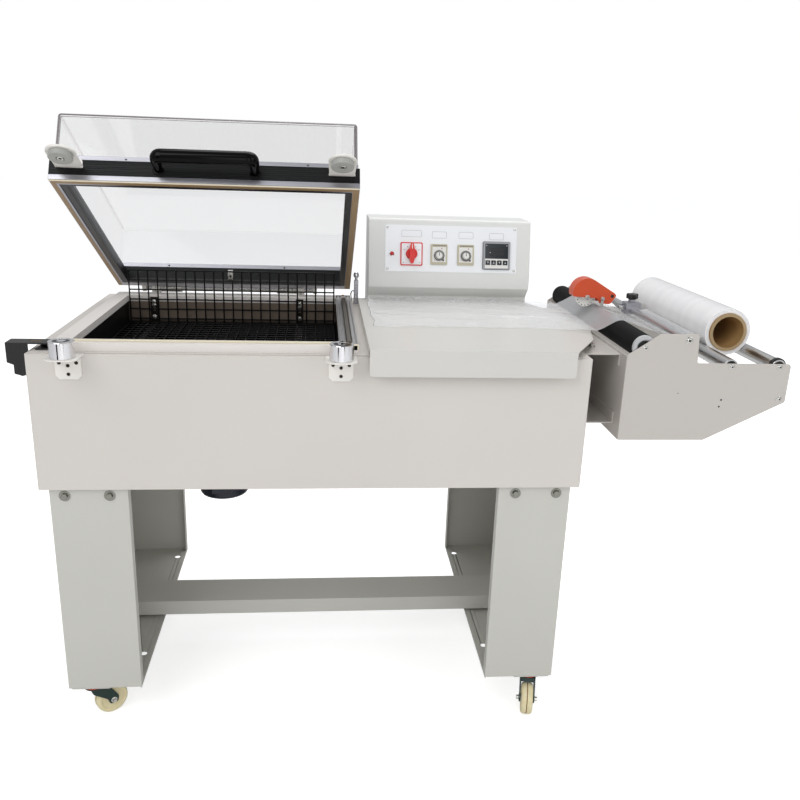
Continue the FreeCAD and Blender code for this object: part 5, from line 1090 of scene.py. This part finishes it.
# Temperature controller: grey bezel, smoked display with three unlit lamps, white key strip
work = bmesh.new()
place = faceStack(dash["controller"], dash["row"], 1.5)
addOutline(work, roundCorners([(-38, -38), (38, -38), (38, 38), (-38, 38)], 3.5, 5), 2.2, place, 3)
frameRing(work, (-37, 37, -37, 37), (-32, 32, -34, 32), 2.0, 6.0, place, 0)
addBlock(work, -32.2, 32.2, -8.5, 32.2, 2.0, 5.0, place, 1)
addBlock(work, -32.2, 32.2, -34.2, -25.2, 2.0, 5.4, place, 2)
addBlock(work, -32.2, 32.2, -12.8, -8.5, 2.0, 5.4, place, 2)
edges = [-32.2] + [16 * (i - 1.5) + side * 6.4 for i in range(4) for side in (-1, 1)] + [32.2]
for a, b in zip(edges[::2], edges[1::2]):
    addBlock(work, a, b, -25.4, -12.6, 2.0, 5.4, place, 2)
for x, s in ((-28, 27), (28, 27), (-18, 8)):
    addTurned(work, [(0, 5), (1.6, 5), (1.5, 5.4), (0, 5.5)], place @ shift(x, s, 0), 4, 20)
for k in range(2):
    addBlock(work, -20, 20, 11 - 11 * k, 21 - 11 * k, 4.9, 5.08, place, 5)
finishPiece("controllerCase", work, [greyAbs, displayPlastic, whiteAbs, blackPlastic, paleInk, displayGlass], "base",
            0.4, ("panel_instruments",))
for i in range(4):
    work = bmesh.new()
    x = dash["controller"] + 16 * (i - 1.5)
    key = roundCorners([(-6, -5.8), (6, -5.8), (6, 5.8), (-6, 5.8)], 1.2, 3)
    addOutline(work, key, 3.2, faceStack(x, 36, 5.8), 0)
    mark = [(-1.4, -1.4), (1.4, -1.4), (0, 1.5)] if i % 2 else [(-1.4, 1.4), (0, -1.5), (1.4, 1.4)]
    addOutline(work, [(2 * a, 2 * b) for a, b in mark], 0.12, faceStack(x, 36, 8.98), 1)
    finishPiece("controllerKey_%d" % (i + 1), work, [displayPlastic, paleInk], "key_%d" % (i + 1),
                0.3, ("controller_key_%d" % (i + 1),))
print("instruments ready")


# ---- unwinder: shafts, rollers, roll and screws ----

unwinder = {"y": (43, 712), "feed": (1309, 916), "beam": (1407, 934), "cradle": ((1515, 875), (1628, 875)),
            "tie": (1639, 800), "roll": (1571.5, 921.7)}
length = unwinder["y"][1] - unwinder["y"][0]


def backward(x, y, z):
    return stack(shift(x, y, z), turn(-90, "X"))


# Frame: two laser cut side plates with eased corners, the folded wall, and the brackets to the cabinet
work = bmesh.new()
plate = roundCorners([(1270, 899, 3), (1342, 948, 10), (1430, 948, 4), (1434, 882, 5), (1655, 882, 8), (1655, 792, 8),
                      (1473, 700, 8), (1270, 700, 3)], 4, 5)
for y in (43, 715):
    addOutline(work, plate, 3, stack(shift(0, y, 0), frontward))
addOutline(work, [(1270, 700), (1310, 700), (1310, 703), (1273, 703), (1273, 894), (1279, 894), (1279, 897), (1270, 897)],
           668.8, stack(shift(0, 711.9, 0), frontward))
for low, high in ((892, 865), (727, 754)):
    step = 3 if high > low else -3
    addOutline(work, [(1180, low), (1270, low), (1270, high if low > high else low + 27), (1267, high if low > high else low + 27),
                      (1267, low + step), (1183, low + step), (1183, low + (81 if step > 0 else -27)),
                      (1180, low + (81 if step > 0 else -27))], 540, stack(shift(0, 620, 0), frontward))
finishPiece("unwinderFrame", work, unwinderCoat, "base", 0.8, ("unwinder_frame",))

work = bmesh.new()
for (x, z), r in ((unwinder["feed"], 7.9), (unwinder["cradle"][0], 5.9), (unwinder["cradle"][1], 5.9), (unwinder["tie"], 6.8)):
    addTurned(work, [(0, 0), (r, 0), (r, length), (0, length)], backward(x, unwinder["y"][0], z), 0, 28)
addTurned(work, [(0, 0), (9, 0), (9, length), (0, length)], backward(unwinder["beam"][0], 43, unwinder["beam"][1]), 1, 40)
finishPiece("deadShafts", work, [groundSteel, anodisedY], "base", 0.0, ("unwinder_shafts",))

# Feed roller: rubber sleeve between two grey end rings, each with a sunk dark hub
work = bmesh.new()
seat = backward(unwinder["feed"][0], 0, unwinder["feed"][1])
addTurned(work, [(26.4, 50), (27.4, 50), (28, 50.6), (28, 704.4), (27.4, 705), (26.4, 705)], seat, 0, 72)
for y0, y1, inner in ((43.5, 50.4, 46.5), (711.5, 704.6, 708.5)):
    addTurned(work, [(18.5, y0), (25.6, y0), (26.8, y0 + (y1 - y0) * 0.2), (27.2, y1), (8.1, y1), (8.1, inner), (17.6, inner)],
              seat, 1, 64)
    addTurned(work, [(8.1, inner), (15.5, inner), (15.5, inner - (inner - y0) * 0.5), (12.4, inner - (inner - y0) * 0.5),
                     (12.0, inner - 0.2 * (inner - y0)), (8.1, inner - 0.2 * (inner - y0))], seat, 2, 40)
finishPiece("feedRoller", work, [rollerRubber, greyCap, blackPlastic], "feed", 0.0, ("feed_roller",))

# Cradle rollers: turned tubes with plugs; the outer one carries a black stop ring at its front end
for index, (x, z) in enumerate(unwinder["cradle"]):
    work = bmesh.new()
    seat = backward(x, 0, z)
    addTurned(work, [(12.8, 44), (15.4, 43.6), (16, 44.2), (16, 710.8), (15.4, 711.4), (12.8, 711)], seat, 0, 56)
    for y0, y1 in ((45, 60), (710, 695)):
        addTurned(work, [(6.05, y0), (12.9, y0), (12.9, y1), (6.05, y1)], seat, 1, 40)
    if index == 1:
        addTurned(work, [(15.9, 47), (18.4, 47), (19, 47.8), (19, 55.4), (18.4, 56.2), (15.9, 56.2)], seat, 1, 56)
    finishPiece("cradleTube_%d" % (index + 1), work, [turnedAluminium, blackPlastic], "cradle_%d" % (index + 1),
                0.0, ("cradle_roller_%d" % (index + 1),))

# Roll of film: the wound edge is never quite flush, so its ends step a little from turn to turn
random.seed(5)
work = bmesh.new()
seat = backward(unwinder["roll"][0], 0, unwinder["roll"][1])
front = [(r, 190 + 0.35 * random.random() + (0.5 if k % 5 == 0 else 0)) for k, r in enumerate([46.05 + 0.55 * k for k in range(20)])]
side = [(56.9 - 0.12 * noise.noise(Vector((y / 90, 3.1, 0.7))) - 0.04 * random.random(), y) for y in range(192, 680, 12)]
back = [(r, 680 - 0.35 * random.random()) for r in [46.05 + 0.8 * k for k in range(14)]][::-1]
addTurned(work, front + side + back, seat, 0, 96)
finishPiece("filmRoll", work, woundFilm, "roll", 0.0, ("film_roll",), 50)
work = bmesh.new()
addTurned(work, [(38, 186.4), (38.6, 186), (45.4, 186), (46, 186.4), (46, 683.6), (45.4, 684), (38.6, 684), (38, 683.6)],
          seat, 0, 80, [0, 1, 0, 0, 0, 1, 0, 0])
finishPiece("filmCore", work, [paperBoard, boardEdge], "roll", 0.0, ("film_core",))

# Socket screws that hold the shafts, in cup washers, and thin black discs on the front plate as painted shade for its
# plain holes
work = bmesh.new()
for (x, z), r in ((unwinder["feed"], 6.4), (unwinder["beam"], 8.6), (unwinder["cradle"][0], 6.4),
                  (unwinder["cradle"][1], 6.4), (unwinder["tie"], 6.4)):
    for place in (stack(shift(x, 40, z), frontward), stack(shift(x, 715, z), turn(-90, "X"))):
        addTurned(work, [(0, 0), (r, 0), (r, 0.7), (r * 0.86, 1.2), (0, 1.2)], place, 0, 32)
        addScrew(work, place @ shift(0, 0, 1.1), r * 0.72, 0, 1)
finishPiece("shaftScrews", work, [zincPlate, blackPlastic], "base", 0.0, ("steel_fittings",))
work = bmesh.new()
# Painted shade: a flat black disc stands for each hole in the front plate
for x, z, r in ((1502, 797, 2.2), (1499, 781, 2.2), (1398, 812, 1.2)):
    addTurned(work, [(0, 0), (r, 0), (r, 0.12), (0, 0.12)], stack(shift(x, 40, z), frontward), 0, 20)
for y in (150, 560):
    addHexBolt(work, stack(shift(1225, y, 892)), 8.0, 10.0, 1)
    addHexBolt(work, stack(shift(1225, y, 730)), 8.0, 10.0, 1)
finishPiece("holeShadesAndBolts", work, [blackPlastic, zincPlate], "base", 0.0)
print("unwinder ready")


# ---- perforator ----

perf = {"y": 400, "pin": (1279.6, 966.92), "pivot": (1376, 940), "beam": (1407, 934), "knob": 962}

# Guard: two cheeks and a skin bent over the wheel, and a flat bar back to its pivot on the clamp
work = bmesh.new()
px, pz = perf["pin"]
over = [(px - 1 + 37 * math.cos(a), pz + 12 + 37 * math.sin(a)) for a in (math.radians(196 - 8 * k) for k in range(18))]
over += [(px + 73, pz + 11)]
under = [(px + 77, pz + 5), (px + 64, pz - 15), (px + 58, pz - 17), (px + 34, pz - 15), (px + 26, pz - 2)]
for y in (382, 420):
    addOutline(work, over + under, 2, stack(shift(0, y, 0), frontward), 0)
inside = [(px - 1 + 35 * math.cos(a), pz + 12 + 35 * math.sin(a)) for a in (math.radians(196 - 8 * k) for k in range(18))]
inside += [(px + 72, pz + 8.6)]
addOutline(work, over + inside[::-1], 36, stack(shift(0, 418, 0), frontward), 0)
finishPiece("perforatorGuard", work, guardOrange, "guard", 0.5, ("perforator_cover",), 28)
work = bmesh.new()
vx, vz = perf["pivot"]
bar = [(vx + 5.5 * math.cos(a), vz + 5.5 * math.sin(a)) for a in (math.radians(-130 + 20 * k) for k in range(10))]
addOutline(work, bar + [(px + 56, pz + 2.4), (px + 54, pz - 0.6)], 12, stack(shift(0, 406, 0), frontward), 0)
addTurned(work, [(0, 0), (4, 0), (4, 36), (0, 36)], backward(px, 382, pz), 0, 24)
finishPiece("guardBar", work, groundSteel, "guard", 0.4, ("perforator_cover",))
work = bmesh.new()
block = roundCorners([(1387, 923), (1427, 923), (1427, 954), (1387, 954)], 3, 4)
addOutline(work, block, 30, stack(shift(0, 415, 0), frontward), 0)
for y in (393.5, 409.5):
    eye = [(vx + 6 * math.cos(a), vz + 6 * math.sin(a)) for a in (math.radians(90 + 20 * k) for k in range(10))]
    addOutline(work, eye + [(1390, vz - 6), (1390, vz + 6)], 3, stack(shift(0, y, 0), frontward), 0)
addTurned(work, [(0, 0), (2.6, 0), (2.6, 22), (0, 22)], backward(vx, 389, vz), 1, 20)
for y, side in ((390.4, frontward), (409.6, turn(-90, "X"))):
    addHexBolt(work, stack(shift(vx, y, vz), side), 4.6, 5.5, 1)
addTurned(work, [(0, 0), (9, 0), (9, 6.4), (8.2, 7.4), (0, 7.4)], stack(shift(1407, 400, 954)), 0, 36)
addBlock(work, 1386.9, 1390, 385.2, 414.8, 936.4, 937.6, layout, 2)
finishPiece("perforatorClamp", work, [anodisedX, zincPlate, blackPlastic], "base", 0.5,
            ("perforator_clamp",))

# Guard fittings: axle bolts, a black grommet, and the silver link that holds the guard down on the film
work = bmesh.new()
for side, y in ((-1, 379.4), (1, 420.6)):
    place = stack(shift(perf["pin"][0], y, perf["pin"][1]), frontward if side < 0 else turn(-90, "X"))
    addHexBolt(work, place, 6.4, 8.6, 0)
place = stack(shift(perf["pin"][0] + 39, 379.6, perf["pin"][1] - 2), frontward)
addHexBolt(work, place @ shift(0, 0, 5.2), 5.2, 8.0, 0)
addTurned(work, [(0, 0), (3.4, 0), (3.4, 5.4), (0, 5.4)], place, 0, 20)
addTurned(work, [(0, -0.1), (4.4, -0.1), (4.4, 0.7), (3.2, 1.1), (2.4, 0.5), (0, 0.5)],
          stack(shift(perf["pin"][0] + 66, 379.9, perf["pin"][1] + 4), frontward), 1, 28)
link = roundCorners([(-3.6, 4, 3), (-3.6, -22, 3), (30, -36, 3), (52, -40, 2.5), (53, -34.4, 2.5), (31, -30.4, 3),
                     (3.4, -17, 3), (3.4, 4, 3)], 3, 4)
addOutline(work, link, 2.4, place @ shift(0, 0, 2.6), 0)
finishPiece("guardFittings", work, [zincPlate, blackPlastic], "guard", 0.3)

# Pin wheel: white nylon ring, hub and web, with steel pins, and thin black discs between them as painted shade for
# holes
work = bmesh.new()
wheel = backward(perf["pin"][0], 0, perf["pin"][1])
addTurned(work, [(20, 394.4), (24.6, 394), (26.2, 394.8), (26.4, 396), (26.4, 404), (26.2, 405.2), (24.6, 406), (20, 405.6)],
          wheel, 0, 64)
addTurned(work, [(4.1, 397.5), (20.2, 397.5), (20.2, 402.5), (4.1, 402.5)], wheel, 0, 48)
addTurned(work, [(4.1, 386.2), (8.4, 386.2), (9, 387), (9, 413), (8.4, 413.8), (4.1, 413.8)], wheel, 0, 36)
for k in range(16):
    pin = wheel @ turn(22.5 * k, "Z")
    addTurned(work, [(0, 0), (1.15, 0), (0.9, 1.6), (0.15, 3.0), (0, 3.0)], pin @ shift(26.0, 0, 400) @ turn(90, "Y"), 1, 12)
    # Painted shade: a flat black disc stands for each hole
    addTurned(work, [(0, 0), (1.5, 0), (1.5, 0.15), (0, 0.15)], pin @ shift(22.9, 0, 394.2) @ turn(180, "X"), 2, 16)
finishPiece("pinWheel", work, [whiteNylon, groundSteel, blackPlastic], "pins", 0.0, ("pin_wheel",))

# Star knob: five lobes, domed, with a brass insert round its stud
work = bmesh.new()
loops = []
for share, h in ((0.9, 0), (1.0, 1.4), (1.0, 9.6), (0.95, 12.4), (0.84, 13.6), (0.5, 14)):
    loops.append([work.verts.new(stack(shift(perf["beam"][0] + share * (13.6 + 2.3 * math.cos(5 * a)) * math.cos(a),
                                             400 + share * (13.6 + 2.3 * math.cos(5 * a)) * math.sin(a), 962 + h))
                                 @ Vector((0, 0, 0))) for a in (2 * math.pi * k / 80 for k in range(80))])
for a, b in zip(loops, loops[1:]):
    for k in range(80):
        n = (k + 1) % 80
        addFace(work, [a[k], a[n], b[n], b[k]], 0)
addFace(work, loops[0][::-1], 0)
addFace(work, loops[-1], 0)
addTurned(work, [(0, 947.2), (3.9, 947.2), (3.9, 962.2), (0, 962.2)], stack(shift(1407, 400, 0)), 1, 28)
addTurned(work, [(3.9, 961.8), (6.4, 961.8), (6.4, 962.2), (3.9, 962.2)], stack(shift(1407, 400, 0)), 2, 28)
finishPiece("starKnob", work, [blackPlastic, groundSteel, brass], "stud_knob", 0.0, ("clamp_knob",), 50)
print("perforator ready")


# ---- film: drawn from the roll, under the bar, over the roller and the flap, and left lying on the table ----

film = {"y": (200, 556), "cut": (0.372, 0.0)}
corners = [(716, 921.0), (1138, 921.0), (1251.5, 916.3), (1294.6, 941.4)]
for degree in (112, 104, 96, 88, 80, 72):
    a = math.radians(degree)
    corners.append((1309 + 28.9 * math.cos(a), 916 + 28.9 * math.sin(a)))
corners += [(1407, 914.8), (1491, 903.6), (1515.4, 906.2)]
spans = [math.dist(a, b) for a, b in zip(corners, corners[1:])]
run = sum(spans)
steps = 240
across = 96


def alongFilm(s):
    for (a, b), span in zip(zip(corners, corners[1:]), spans):
        if s <= span or b == corners[-1]:
            t = min(1.0, s / span)
            ux, uz = (b[0] - a[0]) / span, (b[1] - a[1]) / span
            return a[0] + (b[0] - a[0]) * t, a[1] + (b[1] - a[1]) * t, -uz, ux
        s -= span


def smooth(low, high, v):
    t = min(1.0, max(0.0, (v - low) / (high - low)))
    return t * t * (3 - 2 * t)


def ridge(p, sharp):
    return (1 - abs(noise.noise(p))) ** sharp


def wrinkle(s, y):
    """Height of the film over its bed: soft waves, a few long folds and small crumples along the back."""
    far = smooth(430, 556, y)
    onTable = 1 - smooth(390, 440, s)
    onFlap = smooth(390, 450, s) * (1 - smooth(530, 556, s))
    free = smooth(625, 660, s) * (1 - smooth(780, 815, s))
    long = ridge(Vector((s / 330, (y + 0.18 * s) / 52, 1.7)), 6)
    cross = ridge(Vector(((s - 0.7 * y) / 90, y / 160, 5.1)), 9)
    small = ridge(Vector((s / 22, y / 17, 9.4)), 4)
    wave = 0.5 + 0.5 * noise.noise(Vector((s / 90, y / 70, 2.2)))
    fold = math.exp(-((y - 316 - 0.05 * s) / 3.2) ** 2) * smooth(300, 340, s) * (1 - smooth(470, 520, s))
    height = onTable * (1.5 * long + 0.8 * cross + 0.6 * wave + far * (7.5 * small * wave + 3.0 * long))
    height += onFlap * (2.6 * long + 1.4 * cross + 0.7 * small + 1.2 * wave) + 4.0 * fold
    height += free * 1.6 * (long - 0.5)
    end = 1 - smooth(0, 26, s)
    return height + end * (3.5 * wave + 2.0 * small) + (smooth(520, 556, y) + 1 - smooth(200, 222, y)) * 1.2 * wave * onTable


work = bmesh.new()
grid = []
for i in range(steps + 1):
    s = run * i / steps
    x, z, nx, nz = alongFilm(s)
    row = []
    for j in range(across + 1):
        y = film["y"][0] + (film["y"][1] - film["y"][0]) * j / across
        h = wrinkle(s, y)
        sway = 3.0 * noise.noise(Vector((s / 120, 0.3, y / 400))) * (1 - smooth(540, 560, s))
        pull = 6.0 * noise.noise(Vector((y / 60, 7.7, 0))) * (1 - smooth(0, 60, s))
        row.append(work.verts.new(at(x + nx * h + pull + (6 if s < 1 else 0), y + sway, z + nz * h)))
    grid.append(row)
for a, b in zip(grid, grid[1:]):
    for j in range(across):
        addFace(work, [a[j], b[j], b[j + 1], a[j + 1]], 0)
filmSheet = finishPiece("drawnFilm", work, clearFilm, "base", 0.0, ("film_web",), 180)
filmArea = sum(face.area for face in filmSheet.data.polygons)
film["cut"] = (0.372, round(filmArea / 0.372, 3))
print("film area", round(filmArea, 4), "flat", film["cut"])
print("film ready")

# ---- camera, light and floor ----

view = {"place": (596.8, -1659.2, 1322.8), "turn": 0.1009, "down": 0.3008, "roll": 0.035, "lens": 36.77}

flat = Vector((math.cos(view["turn"]), -math.sin(view["turn"]), 0))
ahead = Vector((math.sin(view["turn"]) * math.cos(view["down"]), math.cos(view["turn"]) * math.cos(view["down"]),
                -math.sin(view["down"])))
over = flat.cross(ahead)
rightward = flat * math.cos(view["roll"]) + over * math.sin(view["roll"])
upward = over * math.cos(view["roll"]) - flat * math.sin(view["roll"])
lensData = bpy.data.cameras.new("photoCamera")
lensData.sensor_width = 36.0
lensData.lens = view["lens"]
lensData.clip_end = 60.0
camera = bpy.data.objects.new("photoCamera", lensData)
camera.matrix_world = Matrix.Translation(at(*view["place"])) @ Matrix((rightward, upward, -ahead)).transposed().to_4x4()
scene.collection.objects.link(camera)
scene.camera = camera


def softBox(name, place, aim, size, power, tint=(1.0, 1.0, 1.0)):
    data = bpy.data.lights.new(name, "AREA")
    data.shape = "SQUARE"
    data.size = size
    data.energy = power
    data.color = tint
    lamp = bpy.data.objects.new(name, data)
    lamp.location = place
    lamp.rotation_euler = (Vector(aim) - Vector(place)).to_track_quat("-Z", "Y").to_euler()
    scene.collection.objects.link(lamp)
    return lamp


softBox("keyLamp", (-2.6, -3.4, 4.2), (0, 0, 0.7), 3.2, 86)
softBox("fillLamp", (3.6, -3.0, 2.6), (0.2, 0, 0.6), 3.0, 36)
softBox("topLamp", (0.4, 1.4, 4.6), (0, 0, 0.8), 3.0, 84)
softBox("lowLamp", (0.3, -4.6, 1.5), (0, 0, 0.3), 2.6, 32)

# Black flags that only reflections see, so that chrome and gloss black get the dark bands of a real studio
flagPaint, flagTree, flagShader, flagWhere = startMaterial("blackFlag", "#080808", 0.95)
for k, (x, y, wide) in enumerate(((-2.0, -3.2, 0.7), (-0.35, -4.2, 0.5), (1.35, -3.6, 0.6), (3.4, -1.6, 0.8))):
    facing = Vector((-y, x, 0)).normalized() * (wide / 2)
    flagMesh = bpy.data.meshes.new("flag_%d" % k)
    flagMesh.from_pydata([(x - facing.x, y - facing.y, 0.05), (x + facing.x, y + facing.y, 0.05),
                          (x + facing.x, y + facing.y, 2.4), (x - facing.x, y - facing.y, 2.4)], [], [(0, 1, 2, 3)])
    flagMesh.materials.append(flagPaint)
    flag = bpy.data.objects.new("flag_%d" % k, flagMesh)
    flag.visible_camera = flag.visible_diffuse = flag.visible_shadow = flag.visible_transmission = False
    scene.collection.objects.link(flag)

world = bpy.data.worlds.new("studioWorld")
scene.world = world
world.use_nodes = True
worldTree = world.node_tree
sky = worldTree.nodes["Background"]
sky.inputs["Color"].default_value = (0.97, 0.98, 1.0, 1.0)
sky.inputs["Strength"].default_value = 0.52
seen = addNode(worldTree, "ShaderNodeLightPath")
white = addNode(worldTree, "ShaderNodeBackground", {"Color": (1.0, 1.0, 1.0, 1.0), "Strength": 1.0})
through = addNode(worldTree, "ShaderNodeMath", {"operation": "MAXIMUM"},
                  {0: seen.outputs["Is Camera Ray"], 1: seen.outputs["Is Transmission Ray"]})
backdrop = addNode(worldTree, "ShaderNodeMixShader", None,
                   {0: through.outputs[0], 1: sky.outputs[0], 2: white.outputs[0]})
worldTree.links.new(backdrop.outputs[0], worldTree.nodes["World Output"].inputs["Surface"])

floorPaint, floorTree, floorShader, floorWhere = startMaterial("studioFloor", "#EFEFEF", 0.9)
floorShader.inputs["Specular IOR Level"].default_value = 0.1
floorSpeck = addNode(floorTree, "ShaderNodeTexNoise", {"Scale": perMetre(400), "Detail": 2.0}, {"Vector": floorWhere})
floorTone = addNode(floorTree, "ShaderNodeMix", {"data_type": "RGBA", 6: hexColour("#F0F0F0"), 7: hexColour("#EDEDED")},
                    {0: floorSpeck.outputs[0]})
floorTree.links.new(floorTone.outputs[2], floorShader.inputs["Base Color"])
floorSeen = addNode(floorTree, "ShaderNodeLightPath")
floorView = addNode(floorTree, "ShaderNodeMath", {"operation": "MAXIMUM"},
                    {0: floorSeen.outputs["Is Camera Ray"], 1: floorSeen.outputs["Is Transmission Ray"]})
floorLift = addNode(floorTree, "ShaderNodeMath", {"operation": "MULTIPLY", 1: 0.56}, {0: floorView.outputs[0]})
floorGlow = addNode(floorTree, "ShaderNodeEmission", None, {"Strength": floorLift.outputs[0]})
floorSum = addNode(floorTree, "ShaderNodeAddShader", None, {0: floorShader.outputs[0], 1: floorGlow.outputs[0]})
floorTree.links.new(floorSum.outputs[0], floorTree.nodes["Material Output"].inputs["Surface"])
floorMesh = bpy.data.meshes.new("studioFloor")
floorMesh.from_pydata([(-25, -25, 0), (25, -25, 0), (25, 25, 0), (-25, 25, 0)], [], [(0, 1, 2, 3)])
floorMesh.materials.append(floorPaint)
floor = bpy.data.objects.new("studioFloor", floorMesh)
scene.collection.objects.link(floor)

scene.view_settings.view_transform = "Standard"
print("camera, lamps and floor ready")
